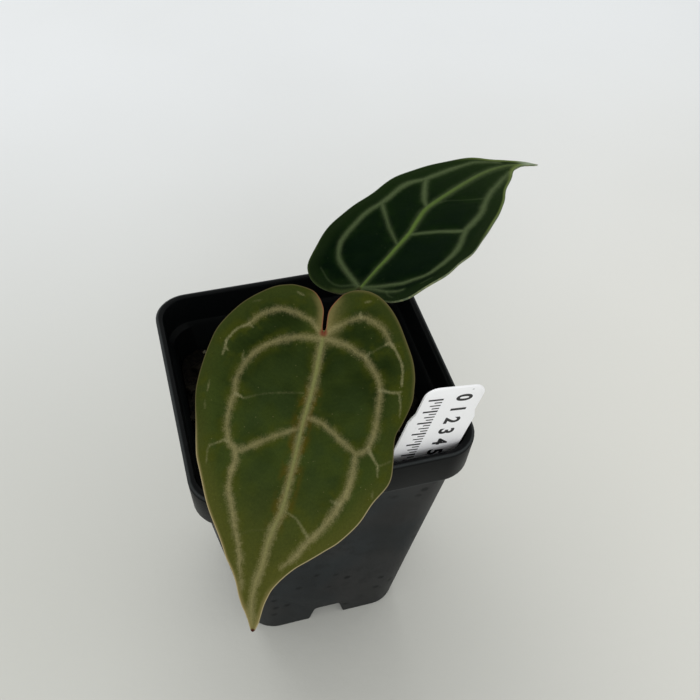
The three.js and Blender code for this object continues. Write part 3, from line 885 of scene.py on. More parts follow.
@dataclass(frozen=True)
class VelvetFace:
    """A leaf's velvety upper face: dark fields, pale veins with frayed edges, a midrib and a thin margin,
    with a painted sheen band inside the margin and a painted highlight on the outer lobe's edge.
    """

    palette: VelvetPalette

    def material(self) -> Material:
        """Makes the material.

        Returns:
            The material.
        """
        tones = self.palette
        recipe = Recipe(f"{tones.name}_upper")
        flat = recipe.stored_place("flat_place")
        along, across = recipe.axis(flat, 0), recipe.axis(flat, 1)
        edge_gap, sinus_gap = recipe.stored("edge_gap"), recipe.stored("sinus_gap")
        main, side, mid = recipe.stored("main_band"), recipe.stored("side_band"), recipe.stored("mid_band")
        nap = recipe.cloud(flat, 3.6, 3.0, 0.7)
        pores = recipe.cells(flat, 5.5)
        hairs = recipe.cloud(recipe.vector(recipe.stored("vein_run") * 4.0, main * 0.9), 1.0, 3.0, 0.65)
        tufts = recipe.cloud(flat, 0.9, 2.0, 0.5)
        lumps = (recipe.cloud(flat, 0.3, 2.0) - 0.5) * (0.8 + along.rise(22.0, 34.0) * 0.6)
        frayed = ((hairs - 0.5) * 0.8 + (tufts - 0.5) * 0.9 + (nap - 0.5) * 1.3 + lumps) * tones.fray
        grainy = 0.35 + nap * 1.1

        colour = self.fields(recipe, flat)
        right = across.rise(-1.0, 1.0)
        low = along.rise(22.0, 34.0)
        glow = sinus_gap.rise(10.0, 3.5) * (edge_gap * (1.9 - right)).rise(4.2, 0.2) * grainy
        colour = recipe.blend(glow * (0.5 + right * 0.1) * tones.fray, colour, tones.glow)
        halo = (main.larger(mid + 0.2) + frayed * 1.3).rise(-1.0, 0.3) * grainy
        colour = recipe.blend(halo * (tones.halo + low * 0.06), colour, tones.vein)
        core = (main + frayed * 0.7).rise(-0.45, 0.65)
        colour = recipe.blend(core * (tones.core + low * 0.1) * grainy, colour, tones.vein)
        threads = (side + frayed * 0.45).rise(-0.3, 0.4) * recipe.stored("side_clear") * (1 - low * 0.45)
        colour = recipe.blend(threads * (0.3 + nap * 0.6), colour, tones.thread)
        flank = (mid + frayed).rise(-0.9, 0.5)
        colour = recipe.blend(flank * 0.25 * grainy, colour, tones.vein)
        ridge = (mid + (nap - 0.5) * 0.3).rise(-0.25, 0.55)
        crest = recipe.blend(along.rise(25.0, 60.0), tones.midrib, tones.midrib_end)
        colour = recipe.blend(ridge * (tones.crest - low * 0.1), colour, crest)

        down = recipe.cloud(flat, 1.7, 3.0, 0.65)
        speckle = 0.55 + nap * 0.4 + (pores - 0.5) * 0.08 + down * 0.5
        colour = recipe.blend(1.0, colour, recipe.vector(speckle, speckle, speckle), "MULTIPLY")
        flecks = recipe.cells(flat, 0.9).rise(0.12, 0.05) * recipe.cloud(flat, 0.4, 1.0).rise(0.5, 0.6)
        colour = recipe.blend(flecks * 0.4, colour, tones.vein)
        wide = edge_gap.rise(0.75, 0.15) * along.rise(20.0, 32.0) * across.rise(0.5, -2.5)
        wide = wide.larger(edge_gap.rise(1.2, 0.15) * along.rise(50.0, 59.0))
        wide = wide.larger(edge_gap.rise(1.8, 0.3) * sinus_gap.rise(10.0, 7.0) * 0.55 * tones.fray)
        # Painted highlight along the outer lobe's edge.
        lobe_edge_highlight = edge_gap.rise(0.9, 0.1) * across.rise(2.0, 6.0) * along.rise(13.0, 6.0)
        colour = recipe.blend(wide.larger(lobe_edge_highlight * 0.34 * tones.fray) * 0.6, colour, tones.rim)
        rim_tone = recipe.blend(along.rise(18.0, 34.0), tones.edge_high, tones.edge_low)
        rim_tone = recipe.blend(sinus_gap.rise(11.0, 7.0), rim_tone, tones.blush)
        rim_share = 0.6 + along.rise(18.0, 34.0) * 0.3
        colour = recipe.blend(edge_gap.rise(0.3, 0.06) * rim_share, colour, rim_tone)
        colour = recipe.blend(sinus_gap.rise(1.3, 0.4) * 0.85, colour, tones.spot)
        tip_gap = recipe.stored("tip_gap")
        colour = recipe.blend(tip_gap.rise(6.0, 2.0) * tones.tail_share, colour, tones.tail)
        colour = recipe.blend(tip_gap.rise(0.9, 0.5), colour, tones.tip_dot)
        rough = 0.66 + nap * 0.2 - ridge * 0.1
        normal = recipe.bump(nap * 0.5 + pores * 0.35 + core * 0.5 + hairs * core * 0.5, 0.00016)
        return recipe.finish(colour, rough, normal, gloss=tones.gloss)

    def fields(self, recipe: Recipe, flat: Socket) -> Socket:
        """The green between the veins, lighter in a band along the margin as painted sheen.

        Args:
            recipe: The material under construction.
            flat: The place on the flat leaf.

        Returns:
            The colour.
        """
        tones = self.palette
        along, across = recipe.axis(flat, 0), recipe.axis(flat, 1)
        far, edge_gap = recipe.stored("vein_far"), recipe.stored("edge_gap")
        patches = recipe.cloud(flat, 0.13, 2.0, 0.5)
        slant = recipe.vector(along * 1.1 + across.absolute() * 0.45, across * 0.16)
        strands = recipe.cloud(slant, 1.0, 3.0, 0.6).rise(0.35, 0.7)
        # The edge_gap term lightens the fields along the margin: painted sheen.
        share = patches.rise(0.35, 0.65) * 0.36 + strands * 0.12 + edge_gap.rise(6.0, 1.0) * 0.45
        share = share + along.rise(2.0, 30.0) * 0.62
        colour = recipe.blend(share.smaller(1.0), tones.deep, tones.mid)
        # Painted sheen: a lighter band along the margin.
        light = recipe.blend(along.rise(16.0, 40.0), tones.light, tones.light_low)
        colour = recipe.blend(edge_gap.rise(5.0, 0.6) * 0.7, colour, light)
        warm = far.rise(3.4, 0.6) * recipe.cloud(flat, 0.22, 2.0).rise(0.42, 0.6)
        colour = recipe.blend(warm * 0.5, colour, tones.warm)
        calm = far.rise(1.6, 4.5) * edge_gap.rise(3.0, 7.0) * recipe.cloud(flat, 0.17, 1.0).rise(0.36, 0.6)
        colour = recipe.blend(calm * (0.25 + along.rise(6.0, 18.0) * 0.2), colour, tones.cool)
        colour = recipe.blend(along.rise(26.0, 62.0) * (0.76 + strands * 0.12), colour, tones.tip)
        if tones.rust:
            rust = recipe.stored("mid_band").rise(-2.6, -0.8) * along.rise(9.0, 14.0) * along.rise(46.0, 36.0)
            spots = recipe.cloud(recipe.vector(along * 0.28, across * 0.5), 1.0, 2.0).rise(0.42, 0.58)
            colour = recipe.blend(rust * spots * 0.42, colour, tone(80, 62, 10))
        return colour


@dataclass(frozen=True)
class LeafUnderside:
    """A leaf's pale matt underside, with its raised veins."""

    name: str
    field_tone: Colour
    vein_tone: Colour

    def material(self) -> Material:
        """Makes the material.

        Returns:
            The material.
        """
        recipe = Recipe(f"{self.name}_under")
        flat = recipe.stored_place("flat_place")
        nap = recipe.cloud(flat, 3.0, 3.0, 0.6)
        net = recipe.cells(flat, 0.75, "DISTANCE_TO_EDGE").rise(0.09, 0.02)
        veins = recipe.stored("main_band").rise(-0.2, 0.3).larger(recipe.stored("mid_band").rise(-0.2, 0.4))
        veins = veins.larger(recipe.stored("side_band").rise(-0.2, 0.2) * 0.7)
        colour = recipe.blend(recipe.cloud(flat, 0.25, 3.0), self.field_tone, tone(104, 116, 70))
        colour = recipe.blend(net * 0.35, colour, self.vein_tone)
        colour = recipe.blend(veins * 0.8, colour, self.vein_tone)
        normal = recipe.bump(nap * 0.5 + net * 0.4, 0.00012)
        return recipe.finish(colour, 0.6 + nap * 0.2, normal, gloss=0.25)


@dataclass(frozen=True)
class LeafMargin:
    """The thin pale rim of a leaf, flushed by its lobes."""

    name: str
    pale: Colour
    blush: Colour
    tip: Colour

    def material(self) -> Material:
        """Makes the material.

        Returns:
            The material.
        """
        recipe = Recipe(f"{self.name}_margin")
        flat = recipe.stored_place("flat_place")
        wear = recipe.cloud(flat, 0.8, 3.0, 0.6)
        flushed = recipe.stored("sinus_gap").rise(12.0, 7.0) * (0.6 + wear * 0.5)
        colour = recipe.blend(wear.rise(0.4, 0.65) * 0.4, self.pale, tone(150, 150, 104))
        colour = recipe.blend(flushed.smaller(1.0), colour, self.blush)
        colour = recipe.blend(recipe.stored("tip_gap").rise(1.2, 0.7), colour, self.tip)
        return recipe.finish(colour, 0.5 + wear * 0.2, recipe.bump(wear, 0.0001), gloss=0.3)


@dataclass(frozen=True)
class LabelPlastic:
    """Matt white plastic with a fine grain, faint scuffs and a little dirt at its edges."""

    white: Colour = tone(239, 240, 243)

    def material(self) -> Material:
        """Makes the material.

        Returns:
            The material.
        """
        recipe = Recipe("label_plastic")
        where = recipe.where()
        grain = recipe.cloud(where, 3800.0, 2.0, 0.5)
        scuffs = recipe.cloud(recipe.stretched(where, (2600.0, 300.0, 420.0)), 1.0, 3.0, 0.6).rise(0.62, 0.8)
        dirt = recipe.cloud(where, 260.0, 4.0, 0.7).rise(0.6, 0.85)
        colour = recipe.blend(scuffs * 0.25, self.white, tone(196, 196, 192))
        colour = recipe.blend(dirt * 0.25, colour, tone(172, 166, 154))
        crumbs = recipe.cells(where, 720.0).rise(0.26, 0.16) * recipe.cloud(where, 240.0, 1.0).rise(0.5, 0.56)
        colour = recipe.blend(crumbs * recipe.stored("top_gap").rise(1.6, 0.3), colour, tone(24, 22, 20))
        return recipe.finish(colour, 0.42 + grain * 0.2 + scuffs * 0.1, recipe.bump(grain + scuffs, 0.00004))


@dataclass(frozen=True)
class PrintInk:
    """Matt black ink that lets a little white through."""

    black: Colour = tone(24, 24, 26)

    def material(self) -> Material:
        """Makes the material.

        Returns:
            The material.
        """
        recipe = Recipe("print_ink")
        speck = recipe.cloud(recipe.where(), 5200.0, 2.0, 0.6)
        colour = recipe.blend(speck.rise(0.6, 0.75) * 0.5, self.black, tone(96, 96, 98))
        return recipe.finish(colour, 0.5 + speck * 0.2, recipe.bump(speck, 0.00002))


@dataclass(frozen=True)
class PaleTop:
    """Matt pale table top with faint soft unevenness, and painted light falloff: darker to the left and the
    front, lighter to the back and to the right.
    """

    # These three tones paint the fall of the light across the top.
    near: Colour = tone(200, 201, 196)
    side: Colour = tone(217, 217, 212)
    far: Colour = tone(226, 229, 232)

    def material(self) -> Material:
        """Makes the material.

        Returns:
            The material.
        """
        recipe = Recipe("pale_top")
        where = recipe.where()
        clouds = recipe.cloud(where, 5.0, 3.0, 0.55)
        fine = recipe.cloud(where, 180.0, 3.0, 0.6)
        # Painted light falloff: darker to the left and front, lighter to the right and back.
        colour = recipe.blend(recipe.axis(where, 0).rise(-0.08, 0.18), self.near, self.side)
        colour = recipe.blend(recipe.axis(where, 1).rise(0.0, 0.34), colour, self.far)
        colour = recipe.blend(clouds.rise(0.3, 0.7) * 0.1, colour, tone(190, 191, 188))
        return recipe.finish(colour, 0.7 + fine * 0.1, recipe.bump(fine, 0.0001), gloss=0.2)


# Pot


@dataclass
class NurseryPot:
    """The square pot: tapered walls, a rim band with a flat lip, a raised cross in its foot, drain holes."""

    part: PartFrame
    plastic: BlackPlastic
    foot_half: float = 23.0
    shoulder_half: float = 32.5
    shoulder_z: float = 78.3
    band_half: float = 34.4
    rim_half: float = 35.0
    height: float = 89.0
    corner: float = 8.5
    wall: float = 1.0
    lip_width: float = 1.9
    corner_steps: int = 10
    channel_height: float = 7.4
    channel_foot: float = 5.55
    channel_top: float = 3.75
    hole_radius: float = 2.5
    hole_reach: float = 13.0
    hole_depth: float = 6.0
    cross_round: float = 0.9
    edge_round: float = 0.22

    def wall_half(self, z: float) -> float:
        """Half width of the outer wall at a height below the band."""
        return self.foot_half + (self.shoulder_half - self.foot_half) * z / self.shoulder_z

    def block(self, name: str, rings: Sequence[Flat], corner: float) -> Piece:
        """A closed square block with rounded corners.

        Args:
            name: The block's name.
            rings: Half width and height of each level, from below.
            corner: Radius of its corners.

        Returns:
            The block.
        """
        half, z = rings[0]
        deselect()
        bpy.ops.mesh.primitive_plane_add(size=2 * half * MM, location=self.part.at(0, 0, z))
        block = take_new(name)
        with Editing(block) as editing:
            bpy.ops.mesh.select_all(action="SELECT")
            bpy.ops.mesh.bevel(offset=corner * MM, segments=self.corner_steps, profile=0.5, affect="VERTICES")
            bpy.ops.mesh.select_all(action="SELECT")
            for (half, z), (next_half, next_z) in pairwise(rings):
                bpy.ops.mesh.extrude_region_move(TRANSFORM_OT_translate={"value": (0, 0, (next_z - z) * MM)})
                editing.spread((next_half - half) * MM)
            editing.face_outwards()
        return block

    def cross(self, name: str, grow: float) -> Piece:
        """The raised cross below the foot, with rounded upper edges.

        Args:
            name: The cross's name.
            grow: How much thicker than the room below the foot it is.

        Returns:
            The cross as one closed solid, whose arms reach past the walls.
        """
        top, foot = self.channel_height + grow, self.channel_foot + grow
        deselect()
        bpy.ops.mesh.primitive_cube_add(
            size=1, location=self.part.at(0, 0, (top - 1) / 2),
            scale=(2 * foot * MM, 2 * foot * MM, (top + 1) * MM),
        )
        cross = take_new(name)
        centre = self.part.at(0, 0, top)
        with Editing(cross) as editing:
            editing.take(lambda co: co.z > self.part.at(0, 0, 1).z)
            share = (self.channel_top + grow) / foot
            bpy.ops.transform.resize(value=(share, share, 1), center_override=centre)
            for way in (Vector((1, 0, 0)), Vector((0, 1, 0)), Vector((-1, 0, 0)), Vector((0, -1, 0))):
                aside = way.cross(Vector((0, 0, 1)))
                editing.take(lambda co: (
                    (co - centre).dot(way) > self.channel_top * 0.9 * MM
                    and abs((co - centre).dot(aside)) < (foot + 1) * MM
                ))
                reach = (self.rim_half + 5) * MM
                bpy.ops.mesh.extrude_region_move(TRANSFORM_OT_translate={"value": way * reach})
            ridge_z = self.part.at(0, 0, top - 0.1).z
            editing.take_edges(lambda edge: (
                all(v.co.z > ridge_z for v in edge.verts) and edge.calc_length() > 20 * MM
            ))
            bpy.ops.mesh.bevel(offset=(self.cross_round + grow * 0.5) * MM, segments=3, affect="EDGES")
            editing.face_outwards()
        return cross

    def room(self, name: str, gap: float) -> Piece:
        """The room inside the pot as a closed solid.

        Args:
            name: The room's name.
            gap: How far it is drawn in from the walls.

        Returns:
            The room.
        """
        inset = self.wall + gap
        floor = self.wall + gap
        lip = self.rim_half - self.lip_width - gap
        room = self.block(
            name,
            [
                (self.wall_half(floor) - inset - 0.5, floor),
                (self.wall_half(floor) - inset - 0.12, floor + 0.14),
                (self.wall_half(floor + 0.5) - inset, floor + 0.5),
                (self.shoulder_half - inset, self.shoulder_z + self.wall),
                (self.band_half - self.lip_width - gap, self.shoulder_z + self.wall * 2.2),
                (lip, self.height - 0.55),
                (lip + 0.12, self.height - 0.2),
                (lip + 0.42, self.height + 0.02),
                (lip + 0.6, self.height + 0.4),
            ],
            self.corner - inset,
        )
        combine(room, self.cross("hood", self.wall + gap), "DIFFERENCE")
        return room

    def build(self) -> Piece:
        """Models the pot and dresses it.

        Returns:
            The pot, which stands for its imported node.
        """
        pot = self.block(
            "nursery_pot",
            [
                (self.foot_half - 0.5, 0.0),
                (self.foot_half - 0.1, 0.12),
                (self.wall_half(0.55), 0.55),
                (self.wall_half(26.0) - 0.04, 26.0),
                (self.wall_half(52.0) - 0.04, 52.0),
                (self.shoulder_half, self.shoulder_z),
                (self.band_half - 0.45, self.shoulder_z),
                (self.band_half - 0.12, self.shoulder_z + 0.14),
                (self.band_half, self.shoulder_z + 0.5),
                (self.rim_half - 0.03, self.height - 0.9),
                (self.rim_half - 0.06, self.height - 0.5),
                (self.rim_half - 0.24, self.height - 0.18),
                (self.rim_half - 0.5, self.height - 0.04),
                (self.rim_half - 0.8, self.height),
            ],
            self.corner,
        )
        combine(pot, self.cross("channel", 0.0), "DIFFERENCE")
        combine(pot, self.room("room", 0.0), "DIFFERENCE")
        for x, y in ((0, 0), (1, 0), (0, 1), (-1, 0), (0, -1)):
            deselect()
            bpy.ops.mesh.primitive_cylinder_add(
                vertices=20, radius=self.hole_radius * MM, depth=self.hole_depth * MM,
                location=self.part.at(x * self.hole_reach, y * self.hole_reach, self.channel_height),
            )
            combine(pot, take_new("drain_hole"), "DIFFERENCE")
        apply_modifier(
            pot, "BEVEL", width=self.edge_round * MM, segments=2, limit_method="ANGLE",
            angle_limit=math.radians(50), use_clamp_overlap=True,
        )
        smooth(pot, 35)
        return hand_over(pot, [self.plastic.material(self)], "pot_plastic", "pot")


# Potting mix


@dataclass
class PottingMixBed:
    """The mix in the pot: a bed of peat, with bark chips, pumice grains and fibres lying in its surface."""

    part: PartFrame
    pot: NurseryPot
    peat: DampPeat
    bark: BarkSkin
    pumice: PumiceSkin
    surface_z: float = 71.0
    cells: int = 110
    chips: int = 210
    grains: int = 90
    fibres: int = 46
    seed: int = 11
    half_room: float = 31.0
    stem_room: float = 5.2
    corner_start: float = 24.0
    corner_room: float = 5.4
    mix_gap: float = 0.3
    chip_margin: float = 2.6
    fibre_margin: float = 5.0
    fibre_room: float = 6.0
    chip_sizes: tuple[Triple, ...] = ((5.2, 3.0, 1.1), (3.8, 2.6, 1.4), (6.4, 2.2, 0.9), (3.0, 2.4, 1.0))
    grain_radius: float = 0.85
    fibre_radius: float = 0.11
    fibre_stops: int = 7
    fibre_step: float = 1.1

    def height_at(self, x: float, y: float) -> float:
        """Height of the bed: a gentle mound with crumbs.

        Args:
            x: The place's way to the right.
            y: The place's way to the back.

        Returns:
            The height in millimetres.
        """
        mound = 1.2 * math.cos(x / 22) * math.cos(y / 22) + 0.4 * math.sin(x / 5 + y / 7)
        lumps = noise.fractal(Vector((x, y, 0)) / 6.0, 0.9, 2.0, 3) * 0.9
        crumbs = noise.noise(Vector((x, y, 9)) / 1.3) * 0.35
        return self.surface_z + mound + lumps + crumbs

    def build(self) -> list[Piece]:
        """Models the bed and what lies in it.

        Returns:
            The pieces of the mix.
        """
        draw = random.Random(self.seed)
        bed = self.bed()
        chips = self.scattered(
            "bark_chips", self.chip_models(), self.chips, draw, sizes=(0.75, 1.5), lift=0.35
        )
        grains = self.scattered(
            "pumice_grains", self.grain_models(), self.grains, draw, sizes=(0.6, 1.5), lift=0.5
        )
        smooth(grains, 50)
        fibres = self.fibre_tangle(draw)
        peat = self.peat.material()
        return [
            hand_over(bed, [peat], "potting_mix", "soil"),
            hand_over(chips, [self.bark.material()], "potting_mix"),
            hand_over(grains, [self.pumice.material()], "potting_mix"),
            hand_over(fibres, [peat], "potting_mix"),
        ]

    def bed(self) -> Piece:
        """The peat, which fills the pot from its foot.

        Returns:
            The bed.
        """
        deselect()
        half = self.pot.rim_half
        bpy.ops.mesh.primitive_grid_add(
            x_subdivisions=self.cells, y_subdivisions=self.cells, size=2 * half * MM,
            location=self.part.at(0, 0, self.surface_z),
        )
        bed = take_new("peat_bed")
        places = self.part.back(read_places(bed.data))
        places[:, 2] = [self.height_at(x, y) for x, y in places[:, :2]]
        write_places(bed.data, self.part.many(places))
        with Editing(bed) as editing:
            editing.take_edges(lambda edge: edge.is_boundary)
            drop = (0, 0, -(self.surface_z + 4) * MM)
            bpy.ops.mesh.extrude_edges_move(TRANSFORM_OT_translate={"value": drop})
            bpy.ops.transform.resize(value=(1, 1, 0), center_override=self.part.at(0, 0, 0))
            bpy.ops.mesh.edge_face_add()
            editing.face_outwards()
        combine(bed, self.pot.room("mix_room", self.mix_gap), "INTERSECT")
        smooth(bed, 60)
        return bed

    def chip_models(self) -> list[Piece]:
        """Makes a few rough bark chips to copy.

        Returns:
            The models.
        """
        models = []
        for number, (length, width, thick) in enumerate(self.chip_sizes):
            deselect()
            bpy.ops.mesh.primitive_cube_add(size=1, scale=(length * MM, width * MM, thick * MM))
            chip = take_new(f"chip_model_{number}")
            with Editing(chip):
                bpy.ops.mesh.select_all(action="SELECT")
                bpy.ops.mesh.subdivide(number_cuts=1, fractal=0.9 * MM, seed=number + 3)
                bpy.ops.mesh.bevel(offset=0.22 * MM, segments=1, affect="EDGES", clamp_overlap=True)
            models.append(chip)
        return models

    def grain_models(self) -> list[Piece]:
        """Makes a few rough grains to copy.

        Returns:
            The models.
        """
        models = []
        for number in range(3):
            deselect()
            bpy.ops.mesh.primitive_ico_sphere_add(subdivisions=2, radius=self.grain_radius * MM)
            grain = take_new(f"grain_model_{number}")
            places = read_places(grain.data)
            away = Vector((number * 5.0, 0, 0))
            bent = np.array([1 + 0.5 * noise.noise(Vector(place) / MM * 1.1 + away) for place in places])
            write_places(grain.data, places * bent[:, None] * (1.0, 0.8, 0.75))
            models.append(grain)
        return models

    def scattered(
        self, name: str, models: list[Piece], count: int, draw: random.Random,
        sizes: tuple[float, float], lift: float,
    ) -> Piece:
        """Lays copies of some models over the bed, and joins them.

        Args:
            name: The joined piece's name.
            models: The models, which are removed at the end.
            count: The number of copies.
            draw: The source of repeatable draws.
            sizes: The smallest and the largest scale of a copy.
            lift: How far the middle of a copy of scale 1 lies above the bed, in millimetres.

        Returns:
            The joined piece.
        """
        copies = []
        reach = self.half_room - self.chip_margin
        while len(copies) < count:
            x, y = draw.uniform(-reach, reach), draw.uniform(-reach, reach)
            past_corner = math.hypot(*(max(abs(way) - self.corner_start, 0) for way in (x, y)))
            if math.hypot(x, y) < self.stem_room or past_corner > self.corner_room:
                continue
            copy = models[draw.randrange(len(models))].copy()
            copy.data = copy.data.copy()
            size = draw.uniform(*sizes)
            tilt = Matrix.Rotation(draw.gauss(0, 0.35), 4, "X") @ Matrix.Rotation(draw.gauss(0, 0.3), 4, "Y")
            spin = Matrix.Rotation(draw.uniform(0, math.tau), 4, "Z")
            place = self.part.at(x, y, self.height_at(x, y) + lift * size)
            copy.data.transform(Matrix.Translation(place) @ spin @ tilt @ Matrix.Scale(size, 4))
            write_values(copy.data, "own_tone", np.full(len(copy.data.vertices), draw.random()))
            bpy.context.scene.collection.objects.link(copy)
            copies.append(copy)
        choose(*copies)
        bpy.ops.object.join()
        for model in models:
            bpy.data.objects.remove(model)
        joined = bpy.context.object
        joined.name = joined.data.name = name
        return joined

    def fibre_tangle(self, draw: random.Random) -> Piece:
        """Short thin fibres that lie over the bed.

        Args:
            draw: The source of repeatable draws.

        Returns:
            The fibres as one piece.
        """
        runs = []
        reach = self.half_room - self.fibre_margin
        for _ in range(self.fibres):
            x, y, way = draw.uniform(-reach, reach), draw.uniform(-reach, reach), draw.uniform(0, math.tau)
            if math.hypot(x, y) < self.fibre_room:
                continue
            run = []
            for _ in range(self.fibre_stops):
                run.append(self.part.at(x, y, self.height_at(x, y) + draw.uniform(0.4, 1.1)))
                way += draw.uniform(-0.5, 0.5)
                x = max(-reach, min(reach, x + math.cos(way) * self.fibre_step))
                y = max(-reach, min(reach, y + math.sin(way) * self.fibre_step))
            runs.append(run)
        tangle = tube("peat_fibres", runs, [self.fibre_radius] * self.fibre_stops, 1)
        smooth(tangle, 60)
        return tangle


# Leaves


class VeinRank(Enum):
    """The ranks of a leaf's veins."""

    MIDRIB = "mid_band"
    MAIN = "main_band"
    SIDE = "side_band"


@dataclass(frozen=True)
class Vein:
    """One vein: its way with half widths, its height above and below the blade, and how clearly it shows."""

    path: tuple[Triple, ...]
    rank: VeinRank
    ridge: float
    keel: float
    clear: float = 1.0


@dataclass(frozen=True)
class LeafPlan:
    """A leaf on the flat sheet, and where the sheet lies: s runs to the tip and t to the left."""

    name: str
    node: str
    slot: str
    joint: Triple
    along: Triple
    up: Triple
    relief: tuple[float, float, float, float]
    tip: Flat
    sinus: Flat
    left_edge: tuple[Flat, ...]
    right_edge: tuple[Flat, ...]
    wave: float
    midrib: tuple[Triple, ...]
    main_veins: tuple[tuple[Triple, ...], ...]
    side_veins: tuple[tuple[Triple, ...], ...]
    faint_veins: tuple[tuple[float, tuple[Triple, ...]], ...]


